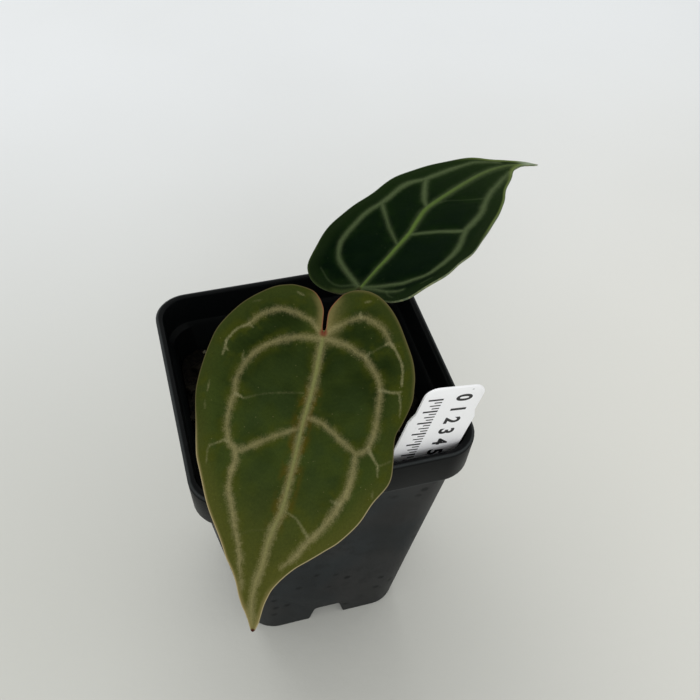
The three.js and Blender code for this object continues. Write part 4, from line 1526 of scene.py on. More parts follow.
FRONT_PLAN = LeafPlan(
    name="front_blade", node="leaf_front", slot="young_leaf",
    joint=(-0.95, -18.4, 120.3), along=(-0.42, -0.714, -0.56), up=(-0.172, -0.543, 0.822),
    relief=(0.1, -0.0055, 0.0, -0.0011), tip=(64.9, -0.1), sinus=(-0.6, -0.1), wave=0.35,
    left_edge=(
        (-1.7, 0.2), (-3.5, 0), (-5.4, -0.1), (-7.1, 0.4), (-8.7, 1.3), (-10.1, 2.5), (-11.3, 4.8),
        (-11.6, 8.2), (-10.1, 11.7), (-6.4, 15.5), (-0.6, 19.4), (3.5, 21.1), (7, 21.8), (10, 22),
        (14.7, 21), (18, 20.2), (23.5, 21), (27.8, 21), (32.8, 18.6), (37.6, 16.7), (42.3, 13.6),
        (44.9, 10.9), (47.6, 8), (49.6, 5.9), (51.7, 4.2), (53.6, 2.9), (55.5, 1.9), (57.6, 1.3), (59.4, 1),
        (61.2, 0.9), (62.7, 0.8), (63.9, 0.5), (64.6, 0.3),
    ),
    right_edge=(
        (-1.5, -0.6), (-3.3, -0.9), (-5.2, -1.2), (-6.4, -1.7), (-7.9, -2.8), (-9.1, -4.5), (-9.5, -7.5),
        (-9.3, -10), (-7.7, -13.8), (-2.9, -18.9), (2.5, -22.5), (7.3, -23.8), (12, -24.4), (16.4, -24.2),
        (20.7, -23.4), (29.1, -21.3), (33.1, -19.9), (40.9, -15.7), (48.4, -10.8), (51, -9.2), (53.2, -7.5),
        (55.4, -6.1), (57.8, -4.9), (59.7, -3.8), (61.3, -2.6), (63, -1.5), (64.6, -0.6),
    ),
    midrib=(
        (-0.4, 0, 0.5), (3.1, 0.1, 0.54), (9.7, 0.4, 0.54), (16.2, 0.3, 0.5), (19.8, 0.1, 0.47),
        (25.8, 0.2, 0.46), (32.8, 0.2, 0.5), (38.1, 0.1, 0.5), (41.7, -0.6, 0.51), (45.7, -1.2, 0.49),
        (50.5, -1.3, 0.47), (54, -1.7, 0.44), (57.5, -1.8, 0.39), (60.4, -1.4, 0.34), (63.4, -0.6, 0.24),
    ),
    main_veins=(
        ((0.8, -0.2, 0.58), (1.2, -3.7, 0.58), (2.1, -6.6, 0.54), (3.6, -9.8, 0.51), (5.8, -12.6, 0.5),
         (8.6, -14.7, 0.45), (11.4, -15.6, 0.45), (13.9, -16.1, 0.46), (16.4, -15.7, 0.48),
         (18.2, -15.9, 0.5), (22.2, -15.9, 0.5), (24.9, -15.2, 0.47), (27.1, -14.2, 0.54),
         (28.2, -12.7, 0.56), (30.1, -12.2, 0.54), (32.4, -12.3, 0.52), (35, -12.3, 0.5),
         (37.7, -11.7, 0.53), (40.4, -10.4, 0.5), (42.7, -9.5, 0.5), (45.9, -8.1, 0.48), (49, -6.8, 0.44),
         (52.3, -5.9, 0.38), (54.7, -5.1, 0.23), (56.4, -4.5, 0.08)),
        ((0.5, 0.2, 0.59), (0.8, 3.9, 0.58), (1.2, 6, 0.58), (2, 8.1, 0.54), (2.7, 9.9, 0.51),
         (4.2, 11.6, 0.48), (5.8, 13.1, 0.48), (7.7, 14.3, 0.44), (9.8, 14.9, 0.44), (12.2, 15.2, 0.48),
         (14.6, 15.4, 0.54), (17.2, 15.6, 0.62), (19.4, 15.4, 0.6), (21.3, 15, 0.52), (22.6, 14, 0.52),
         (23.4, 12.7, 0.54), (25, 12.8, 0.57), (27.3, 13, 0.6), (30.1, 13, 0.62), (32.4, 12.6, 0.64),
         (34.3, 11.9, 0.64), (36.7, 11, 0.62), (39.2, 9.8, 0.6), (41.4, 8.7, 0.6), (43.3, 7.3, 0.6),
         (45.5, 6.1, 0.52), (47.7, 4.8, 0.37), (49.1, 3.8, 0.23), (50.4, 2.7, 0.08)),
    ),
    side_veins=(
        ((-0.2, -0.6, 0.6), (-1.6, -2.1, 0.46), (-2.6, -3.3, 0.38), (-3, -4.9, 0.38), (-3.4, -6.9, 0.42),
         (-3.6, -8.8, 0.42), (-3.5, -10.7, 0.42), (-2.7, -12.4, 0.44), (-1.6, -14, 0.42),
         (-0.4, -15.2, 0.4), (1.2, -16.3, 0.3), (1.7, -17, 0.1)),
        ((-0.3, 0.6, 0.7), (-1.5, 1.3, 0.62), (-2.5, 2.6, 0.5), (-3.9, 4.2, 0.42), (-5.1, 5.9, 0.46),
         (-5.7, 7.1, 0.48), (-5.8, 8.8, 0.48), (-5.1, 10.6, 0.44), (-4.4, 12.2, 0.42), (-3.3, 13.5, 0.42),
         (-1.8, 14.5, 0.34), (-1.2, 15.2, 0.1)),
        ((20.8, -0.4, 0.25), (22.2, -2.9, 0.42), (23.7, -5.4, 0.42), (25.4, -7.8, 0.46), (27, -9.7, 0.5),
         (28.3, -12, 0.5)),
        ((18.1, 0.5, 0.3), (18.5, 3.7, 0.45), (20.1, 6.9, 0.46), (21.8, 10, 0.5), (23.3, 12.5, 0.45)),
    ),
    faint_veins=(
        (1.0, ((1.2, -16.3, 0.28), (1.8, -17.2, 0.24), (2.5, -18.3, 0.24), (3.5, -19.1, 0.22),
         (4.8, -19.8, 0.24), (6, -20.3, 0.28), (7.2, -20.2, 0.22), (9, -20.4, 0.06))),
        (1.0, ((-1.8, 14.5, 0.28), (-0.7, 15.8, 0.24), (0.4, 16.7, 0.24), (1.9, 17.8, 0.24),
         (3.4, 18.4, 0.18), (5, 18.7, 0.18), (6.2, 18.9, 0.26), (7.1, 19, 0.06))),
        (1.0, ((38.6, 0.6, 0.06), (38.9, 2, 0.16), (39.6, 3.5, 0.19), (40.8, 4.9, 0.24), (41.8, 5.8, 0.3),
         (42.7, 6.8, 0.36))),
        (0.8, ((1.2, -16.3, 0.3), (1.4, -15.9, 0.28), (1.7, -15.3, 0.08))),
        (0.7, ((7.5, -20.1, 0.2), (7.7, -19.6, 0.18), (7.8, -19.3, 0.06))),
        (0.5, ((9, -15.6, 0.34), (8.3, -16, 0.26), (7.4, -15.9, 0.08))),
        (0.9, ((16.6, -15.6, 0.36), (16.8, -14.6, 0.3), (17.2, -13.5, 0.1))),
        (0.3, ((17.2, -13.5, 0.16), (16.1, -11.3, 0.1), (15, -8.7, 0.1), (13.9, -4.6, 0.1),
         (13.2, -1.4, 0.06))),
        (0.9, ((27.1, -14.6, 0.36), (26.8, -15.4, 0.32), (27.4, -16.3, 0.24), (28, -17.3, 0.22),
         (28.7, -18.3, 0.22), (29.6, -18.5, 0.18), (31, -18.4, 0.16), (32.6, -18.1, 0.05))),
        (0.8, ((14.8, -21.7, 0.04), (16.1, -21.7, 0.16), (17.4, -21.6, 0.04))),
        (0.35, ((19.5, -21.5, 0.06), (20.3, -21.3, 0.1), (21.1, -21.1, 0.06))),
        (0.7, ((-8, -7.7, 0.06), (-7.8, -6.9, 0.18), (-7.6, -6.1, 0.06))),
        (0.3, ((-3.7, -16.7, 0.06), (-4.2, -15.6, 0.1), (-4.6, -14.6, 0.06))),
        (0.9, ((-1.8, 14.5, 0.3), (-1.2, 13.9, 0.28), (-0.8, 13.2, 0.1))),
        (0.3, ((-0.8, 13.2, 0.16), (0.5, 11.9, 0.1), (1.6, 10.8, 0.16), (2.5, 10.1, 0.24))),
        (0.8, ((2.7, 10, 0.36), (2, 10.5, 0.28), (1.2, 10.6, 0.08))),
        (0.8, ((-5.7, 7.1, 0.32), (-6.3, 6.8, 0.24), (-6.9, 6.7, 0.06))),
        (0.7, ((-9.1, 7.2, 0.06), (-9.4, 7.8, 0.18), (-9.7, 8.4, 0.06))),
        (0.9, ((8.8, 14.7, 0.36), (8.8, 16, 0.28), (8.7, 17.4, 0.24), (8.5, 18.7, 0.24), (8, 19.2, 0.08))),
        (0.8, ((8.5, 18.7, 0.22), (9.6, 19.2, 0.22), (11.1, 19.7, 0.16), (13.5, 20.1, 0.05))),
        (0.9, ((21.6, 15, 0.4), (23.1, 16.2, 0.32), (24.2, 17.3, 0.26), (24.8, 17.9, 0.26),
         (25.8, 18, 0.24), (27.1, 18.3, 0.06))),
        (0.5, ((24.7, 17.8, 0.18), (24.3, 18.8, 0.1), (23.1, 20.2, 0.05))),
        (0.5, ((30.2, 18, 0.06), (31, 18.1, 0.18), (31.8, 18.3, 0.06))),
        (0.9, ((34.5, 11.7, 0.4), (34.4, 10.6, 0.3), (34.2, 9.7, 0.08))),
        (0.25, ((45.9, -7.7, 0.19), (44.4, -5.9, 0.1), (43.5, -3.1, 0.1), (43.1, -1.2, 0.05))),
    ),
)

BACK_PLAN = LeafPlan(
    name="back_blade", node="leaf_back", slot="mature_leaf",
    joint=(13.55, 1.35, 113.1), along=(0.701, 0.64, 0.315), up=(-0.494, 0.116, 0.862),
    relief=(0.0, 0.0043, 0.012, -0.006), tip=(68.9, -1.4), sinus=(-0.9, 0), wave=0.25,
    left_edge=(
        (-2, 2.4), (-2.7, 5), (-2.8, 9), (-2.4, 12.2), (-1, 15.8), (1.4, 18.3), (4.1, 19.2), (8.4, 19.4),
        (13, 18.85), (20, 17.15), (26.2, 15.35), (33, 14.05), (39, 12.5), (44.5, 10.75), (49.8, 9.1),
        (54.6, 6.9), (58.5, 4.65), (61.5, 3.1), (63.3, 2.1), (65.7, 0.9), (67.2, 0),
    ),
    right_edge=(
        (-2, -2), (-2.8, -5.2), (-3, -8.8), (-2.8, -12.7), (-0.8, -16.4), (2.2, -19.3), (4.9, -20.8),
        (8.2, -21.5), (12.4, -21.25), (18, -20.65), (24, -19.1), (29.8, -16.6), (36.1, -13.9),
        (42.4, -10.85), (46.7, -8.15), (49.9, -6.3), (53.4, -4.7), (56.5, -3.2), (58.6, -2), (60.8, -1.1),
        (63.4, -0.8), (66.1, -0.95),
    ),
    midrib=(
        (-0.5, -0.3, 0.53), (3.2, -0.8, 0.53), (6.1, -1.2, 0.56), (9.7, -1.6, 0.63), (13.3, -1.6, 0.63),
        (16.2, -1.6, 0.65), (19.7, -1.3, 0.63), (23.2, -0.4, 0.63), (26.2, 0.3, 0.63), (29.9, 0.9, 0.63),
        (36.4, 0.7, 0.59), (40.2, 0.7, 0.57), (46.7, 0.9, 0.53), (53.7, 1.1, 0.48), (57.6, 0.9, 0.4),
        (61, 0.3, 0.34), (65, -0.6, 0.25), (67.5, -1.2, 0.15),
    ),
    main_veins=(
        ((0, 0.6, 0.53), (1.8, 3.9, 0.59), (3.2, 6.4, 0.59), (5, 9.4, 0.58), (6.9, 11.6, 0.59),
         (10.1, 13.2, 0.65), (13, 13.4, 0.65), (19.6, 12.7, 0.67), (23.2, 12, 0.65), (26.6, 11, 0.65),
         (33.4, 10.3, 0.63), (36.4, 9.6, 0.61), (39.3, 8.1, 0.63), (42.4, 7.3, 0.61), (49, 6.2, 0.53),
         (52.8, 5.3, 0.44), (56.1, 4.1, 0.36), (60, 2.3, 0.24)),
        ((0, -0.7, 0.53), (0.7, -4, 0.5), (1.5, -7, 0.55), (2.7, -10.6, 0.55), (4.3, -13.2, 0.59),
         (6.7, -16, 0.61), (10.3, -17.1, 0.69), (13.4, -17.2, 0.75), (17, -16.6, 0.73), (20.2, -15.5, 0.69),
         (22.8, -14.2, 0.67), (26.1, -12.6, 0.73), (29.1, -11.9, 0.75), (32.6, -11, 0.67),
         (35.9, -9.8, 0.63), (38.6, -8.4, 0.58), (45.2, -5.5, 0.55), (51.6, -3.5, 0.49), (54.7, -2.5, 0.4),
         (58, -1.4, 0.3)),
    ),
    side_veins=(
        ((-0.3, -0.9, 0.3), (-0.1, -2.1, 0.32), (0, -5.3, 0.36), (-0.2, -8.9, 0.3), (0.4, -11.7, 0.25),
         (1.2, -13.1, 0.15)),
        ((14.9, -1, 0.25), (18.7, 3.7, 0.34), (22.6, 7.7, 0.38), (25.7, 10.7, 0.58)),
        ((30, 1, 0.4), (32.1, 3.2, 0.53), (34.6, 4.9, 0.53), (37.7, 6.8, 0.53), (40.2, 7.9, 0.53)),
        ((18.6, -1.1, 0.4), (20.6, -4, 0.53), (22.6, -6.9, 0.58), (24, -9.6, 0.69), (25.6, -12.6, 0.79)),
    ),
    faint_veins=(
        (0.45, ((0.3, 2, 0.34), (-0.6, 5.7, 0.3), (-0.7, 8.3, 0.26), (0.2, 11, 0.2), (1.9, 13.6, 0.18),
         (2.7, 14.8, 0.14))),
        (0.55, ((31, 0.7, 0.25), (34.8, -0.8, 0.22), (38, -3.9, 0.22), (41.3, -6.4, 0.4))),
        (0.6, ((3.6, -16.9, 0.15), (4.9, -18, 0.2), (6.1, -18.6, 0.1))),
        (0.5, ((-0.3, -8.9, 0.2), (-1.3, -10.3, 0.2), (-1.6, -11.9, 0.1))),
    ),
)


@dataclass
class LeafSheet:
    """Turns a leaf's flat places into places in space."""

    plan: LeafPlan
    along: Vector = field(init=False)
    left: Vector = field(init=False)
    up: Vector = field(init=False)

    def __post_init__(self) -> None:
        """Works out the sheet's three directions."""
        self.up = Vector(self.plan.up).normalized()
        rough = Vector(self.plan.along)
        self.along = (rough - self.up * rough.dot(self.up)).normalized()
        self.left = self.up.cross(self.along)

    def middle(self, s: Places, t: Places) -> Places:
        """The middle of the blade's thickness.

        Args:
            s: Ways towards the tip.
            t: Ways to the left.

        Returns:
            The places, as rows.
        """
        fold, cup, twist, arch = self.plan.relief
        lift = fold * np.abs(t) + cup * t**2 + twist * s * t + arch * np.maximum(s, 0) ** 2
        return (
            np.array(self.plan.joint)
            + np.outer(s, self.along) + np.outer(t, self.left) + np.outer(lift, self.up)
        )

    def normal(self, s: Places, t: Places) -> Places:
        """The way out of the blade's upper face.

        Args:
            s: Ways towards the tip.
            t: Ways to the left.

        Returns:
            Ways of length 1, as rows.
        """
        span = 0.5
        forward = self.middle(s + span, t) - self.middle(s - span, t)
        sideways = self.middle(s, t + span) - self.middle(s, t - span)
        out = np.cross(forward, sideways)
        return out / np.linalg.norm(out, axis=1)[:, None]

    def at(self, s: float, t: float, lift: float) -> Vector:
        """One place above the middle of the blade, or below it."""
        flat_s, flat_t = np.array([s], float), np.array([t], float)
        return Vector((self.middle(flat_s, flat_t) + self.normal(flat_s, flat_t) * lift)[0])


@dataclass
class LeafBlade:
    """A leaf blade: a fine curved sheet with pillowed fields, raised veins, a waved edge and ribs below."""

    part: PartFrame
    plan: LeafPlan
    palette: VelvetPalette
    underside: LeafUnderside
    margin: LeafMargin
    cell: float = 0.235
    face_lift: float = 0.28
    thickness: float = 0.5
    wave_width: float = 3.5
    pillow: float = 0.3

    def veins(self) -> list[Vein]:
        """Gives every vein its rank and heights.

        Returns:
            The veins.
        """
        plan = self.plan
        return [
            Vein(plan.midrib, VeinRank.MIDRIB, 0.3, 0.95),
            *(Vein(path, VeinRank.MAIN, 0.14, 0.45) for path in plan.main_veins),
            *(Vein(path, VeinRank.MAIN, 0.1, 0.35) for path in plan.side_veins),
            *(Vein(path, VeinRank.SIDE, 0.05 * clear, 0.12, clear) for clear, path in plan.faint_veins),
        ]

    def build(self) -> Piece:
        """Models the blade and dresses it.

        Returns:
            The blade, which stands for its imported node.
        """
        blade = self.flat_sheet()
        self.measure(blade.data)
        self.bend(blade.data)
        apply_modifier(
            blade, "SOLIDIFY", thickness=self.thickness * MM, offset=-1.0, use_even_offset=False,
            use_rim=True, material_offset=1, material_offset_rim=2,
        )
        self.rib_underside(blade.data)
        smooth(blade, 70)
        return hand_over(blade, [], self.plan.slot, self.plan.node)

    def outline(self, step: float) -> Places:
        """The leaf's flat outline, once round from its sinus.

        Args:
            step: The length wanted between its points.

        Returns:
            The points, as rows.
        """
        plan = self.plan
        return np.vstack([
            flat_line([plan.sinus, *plan.right_edge, plan.tip], step)[:-1],
            flat_line([plan.sinus, *plan.left_edge, plan.tip], step)[::-1],
        ])

    def cells_inside(self, low: Places, counts: Places) -> Places:
        """Which cells of the leaf's grid have their middle inside the outline.

        Args:
            low: The grid's lowest corner.
            counts: The number of cells each way.

        Returns:
            A table of truth values, without cells that hang on by one corner.
        """
        s, t = (low[axis] + (np.arange(counts[axis]) + 0.5) * self.cell for axis in (0, 1))
        grid_s, grid_t = np.meshgrid(s, t, indexing="ij")
        inside = np.zeros(grid_s.shape, bool)
        for start, end in pairwise(self.outline(0.8)):
            crosses = (start[1] > grid_t) != (end[1] > grid_t)
            rise = end[1] - start[1] or 1e-9
            inside ^= crosses & (grid_s < start[0] + (grid_t - start[1]) / rise * (end[0] - start[0]))
        for _ in range(3):
            framed = np.pad(inside, 1)
            beside = framed[2:, 1:-1].astype(int) + framed[:-2, 1:-1] + framed[1:-1, 2:] + framed[1:-1, :-2]
            inside &= beside >= 2
            falling = inside[:-1, :-1] & inside[1:, 1:] & ~inside[1:, :-1] & ~inside[:-1, 1:]
            rising = ~inside[:-1, :-1] & ~inside[1:, 1:] & inside[1:, :-1] & inside[:-1, 1:]
            inside[1:, :-1] |= falling
            inside[:-1, :-1] |= rising
        return inside

    def flat_sheet(self) -> Piece:
        """A fine grid cut to the leaf's outline, with its margin drawn onto the outline.

        Returns:
            The flat blade.
        """
        outline = self.outline(0.25)
        low = outline.min(0) - self.cell
        counts = np.ceil((outline.max(0) + self.cell - low) / self.cell).astype(int)
        deselect()
        bpy.ops.mesh.primitive_grid_add(x_subdivisions=int(counts[0]), y_subdivisions=int(counts[1]), size=1)
        blade = take_new(self.plan.name)
        flat = (read_places(blade.data)[:, :2] + 0.5) * counts * self.cell + low
        write_places(blade.data, np.column_stack([flat * MM, np.zeros(len(flat))]))
        inside = self.cells_inside(low, counts)
        with Editing(blade):
            bpy.ops.mesh.select_mode(type="FACE")
            shape = bmesh.from_edit_mesh(blade.data)
            for face in shape.faces:
                cell = (np.array(face.calc_center_median()[:2]) / MM - low) / self.cell
                face.select = not inside[int(cell[0]), int(cell[1])]
            bmesh.update_edit_mesh(blade.data)
            bpy.ops.mesh.delete(type="FACE")
        self.draw_margin(blade.data, outline)
        for finish in (VelvetFace(self.palette), self.underside, self.margin):
            blade.data.materials.append(finish.material())
        return blade

    def draw_margin(self, mesh: Mesh, outline: Places) -> None:
        """Moves the points of the margin onto the outline, and one each to the tip and the sinus.

        Args:
            mesh: The flat blade.
            outline: The outline's points.
        """
        shape = bmesh.new()
        shape.from_mesh(mesh)
        rim = np.array([vert.index for vert in shape.verts if vert.is_boundary])
        shape.free()
        flat = read_places(mesh)[:, :2] / MM
        _, share = nearest(outline, flat[rim])
        stops = np.linspace(0, 1, len(outline))
        flat[rim] = np.column_stack([np.interp(share, stops, outline[:, axis]) for axis in (0, 1)])
        for place in (self.plan.tip, self.plan.sinus):
            flat[rim[np.argmin(np.linalg.norm(flat[rim] - np.array(place), axis=1))]] = place
        write_places(mesh, np.column_stack([flat * MM, np.zeros(len(flat))]))

    def measure(self, mesh: Mesh) -> None:
        """Stores the flat place of every point, and how far it lies from veins and edges.

        Args:
            mesh: The flat blade.
        """
        plan = self.plan
        flat = read_places(mesh)[:, :2] / MM
        count = len(flat)
        layer = mesh.attributes.new("flat_place", "FLOAT_VECTOR", "POINT")
        layer.data.foreach_set("vector", np.column_stack([flat, np.zeros(count)]).astype(np.float32).ravel())
        bands = {rank: np.full(count, -4.0) for rank in VeinRank}
        far, run, clear = np.full(count, 9.0), np.zeros(count), np.zeros(count)
        ridge, keel, best = np.zeros(count), np.zeros(count), np.full(count, -9.0)
        for number, vein in enumerate(self.veins()):
            dense = flat_line(vein.path, 0.8)
            line = dense[:, :2]
            near = np.all((flat > line.min(0) - 6) & (flat < line.max(0) + 6), axis=1)
            gap, share = nearest(line, flat[near])
            half = np.interp(share, np.linspace(0, 1, len(dense)), dense[:, 2])
            depth = half - gap
            bands[vein.rank][near] = np.maximum(bands[vein.rank][near], depth)
            if vein.clear > 0.4:
                far[near] = np.minimum(far[near], gap)
            length = np.linalg.norm(np.diff(line, axis=0), axis=1).sum()
            inner = np.zeros(count, bool)
            inner[near] = depth > best[near]
            kept = inner[near]
            best[inner], run[inner] = depth[kept], (share * length + number * 40)[kept]
            clear[inner] = vein.clear
            spread = 0.26 + half * 0.5
            height = np.minimum(half / 0.35, 1.0)
            ridge[near] = np.maximum(ridge[near], vein.ridge * height * np.exp(-((gap / spread) ** 2)))
            keel[near] = np.maximum(keel[near], vein.keel * height * np.exp(-((gap / (spread * 1.3)) ** 2)))
        for rank, values in bands.items():
            write_values(mesh, rank.value, values)
        edge_gap, edge_share = nearest(self.outline(0.8), flat)
        values = {
            "vein_far": far, "vein_run": run, "side_clear": clear, "ridge": ridge, "keel": keel,
            "edge_gap": edge_gap, "edge_share": edge_share,
            "sinus_gap": np.linalg.norm(flat - np.array(plan.sinus), axis=1),
            "tip_gap": np.linalg.norm(flat - np.array(plan.tip), axis=1),
        }
        for name, numbers in values.items():
            write_values(mesh, name, numbers)

    def bend(self, mesh: Mesh) -> None:
        """Lays the flat sheet in its place, with its fields, veins and waves.

        Args:
            mesh: The flat blade, with its stored values.
        """
        flat = read_places(mesh)[:, :2] / MM
        s, t = flat[:, 0], flat[:, 1]
        far, edge_gap = read_values(mesh, "vein_far"), read_values(mesh, "edge_gap")
        pillow = self.pillow * ramp(np.minimum(far, edge_gap + 1.2), 0.3, 3.6)
        turns = read_values(mesh, "edge_share") * math.tau
        wave = self.plan.wave * np.exp(-((edge_gap / self.wave_width) ** 2))
        wave *= np.sin(turns * 9) + 0.6 * np.sin(turns * 17 + 1.3)
        wave *= ramp(read_values(mesh, "tip_gap"), 2, 14) * ramp(read_values(mesh, "sinus_gap"), 2, 9)
        lumps = np.array([noise.noise(Vector((x, y, 2.0)) / 3.1) for x, y in flat]) * 0.1
        lift = self.face_lift + pillow + read_values(mesh, "ridge") + wave + lumps * ramp(edge_gap, 0, 2)
        sheet = LeafSheet(self.plan)
        write_places(mesh, self.part.many(sheet.middle(s, t) + sheet.normal(s, t) * lift[:, None]))

    def rib_underside(self, mesh: Mesh) -> None:
        """Lets the veins stand out of the underside.

        Args:
            mesh: The solid blade.
        """
        under = np.zeros(len(mesh.vertices), bool)
        for face in mesh.polygons:
            if face.material_index == 1:
                under[list(face.vertices)] = True
        flat = np.empty(len(mesh.vertices) * 3, np.float32)
        mesh.attributes["flat_place"].data.foreach_get("vector", flat)
        s, t = flat.reshape(-1, 3)[under, :2].T.astype(float)
        places = read_places(mesh)
        drop = read_values(mesh, "keel") + read_values(mesh, "ridge") * 0.5
        drop *= ramp(read_values(mesh, "edge_gap"), 0.1, 0.9)
        places[under] -= LeafSheet(self.plan).normal(s, t) * drop[under, None] * MM
        write_places(mesh, places)


# Stem, stalks and sheaths


@dataclass
class StalkLine:
    """The line of a leaf's stalk, from the stem up to the blade's joint."""

    plan: LeafPlan
    foot: Triple
    bow: Triple
    radius: float = 1.15
    joint_radius: float = 1.6
    joint_length: float = 7.0
    foot_radius: float = 2.0
    joint_drop: float = 1.65
    foot_length: float = 6.0
    joint_spread: float = 3.2

    def ends(self) -> list[Vector]:
        """Finds the four places that the stalk passes through.

        Returns:
            The places in millimetres.
        """
        sheet = LeafSheet(self.plan)
        end = sheet.at(0, 0, -self.joint_drop)
        start = Vector(self.foot)
        middle = start.lerp(end, 0.5) + Vector(self.bow)
        neck = end - sheet.up * (self.joint_length * 0.6) + sheet.along * (self.joint_length * 0.15)
        return [start, middle, neck, end]

    def points(self, count: int) -> list[Vector]:
        """Points along the stalk, in millimetres."""
        return space_line(self.ends(), count)

    def radius_at(self, share: float, length: float) -> float:
        """The stalk's radius, with its wider foot and its thicker joint.

        Args:
            share: The share of the stalk's length.
            length: The stalk's length.

        Returns:
            The radius.
        """
        foot = (self.foot_radius - self.radius) * math.exp(-((share * length / self.foot_length) ** 2))
        above = ((1 - share) * length - self.joint_length / 2) / self.joint_spread
        return self.radius + foot + (self.joint_radius - self.radius) * math.exp(-(above**2))


@dataclass
class LeafStalk:
    """A leaf stalk: tapered and round, grooved along its upper side, with a thicker joint below the blade."""

    part: PartFrame
    line: StalkLine
    name: str
    node: str
    skin: StalkSkin
    groove_depth: float = 0.16
    groove_half: float = 0.5
    steps: int = 90
    sides: int = 20

    def build(self) -> Piece:
        """Models the stalk and dresses it.

        Returns:
            The stalk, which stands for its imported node.
        """
        sheet = LeafSheet(self.line.plan)
        points = self.line.points(self.steps)
        length = sum((b - a).length for a, b in pairwise(points))
        points.append(sheet.at(0, 0, -0.1))
        deselect()
        bpy.ops.mesh.primitive_circle_add(vertices=self.sides, radius=MM, fill_type="NGON")
        stalk = take_new(self.name)
        self.sweep(stalk, points, length)
        smooth(stalk, 60)
        return hand_over(stalk, [self.skin.material()], "petiole_skin", self.node)

    def sweep(self, stalk: Piece, points: list[Vector], length: float) -> None:
        """Extrudes the first ring once for each step, and lays the rings along the line.

        Args:
            stalk: A disc with the wanted number of sides.
            points: The line's points, in millimetres.
            length: The stalk's length up to its joint, in millimetres.
        """
        with Editing(stalk) as editing:
            bpy.ops.mesh.select_all(action="SELECT")
            for _ in points[1:]:
                bpy.ops.mesh.extrude_region_move(TRANSFORM_OT_translate={"value": (0, 0, MM)})
            editing.face_outwards()
        flat = read_places(stalk.data)
        level = np.clip(np.round(flat[:, 2] / MM).astype(int), 0, len(points) - 1)
        turn = np.arctan2(flat[:, 1], flat[:, 0])
        way_in = LeafSheet(self.line.plan).along
        places = np.empty_like(flat)
        run = np.zeros(len(flat))
        for number, point in enumerate(points):
            here = level == number
            before, after = points[max(number - 1, 0)], points[min(number + 1, len(points) - 1)]
            way = (after - before).normalized()
            side = way.cross(way_in).normalized()
            front = side.cross(way)
            share = min(number / (self.steps - 1), 1.0)
            radius = self.line.radius_at(share, length) * (0.97 + 0.03 * math.sin(number * 0.7))
            groove = self.groove_depth * ramp(np.array([share]), 0.05, 0.3)[0]
            groove = 1 - groove * np.exp(-((turn[here] / self.groove_half) ** 2))
            places[here] = (
                np.array(point)
                + np.outer(np.cos(turn[here]) * radius * groove, front)
                + np.outer(np.sin(turn[here]) * radius * groove, side)
            )
            run[here] = share * length
        write_places(stalk.data, self.part.many(places))
        write_values(stalk.data, "run", run)
        write_values(stalk.data, "turn", np.abs(turn))
        write_values(stalk.data, "joint", ramp(run, length - 8.5, length - 6.0))
        write_values(stalk.data, "flush", 1 - ramp(run, 1.0, 9.0))


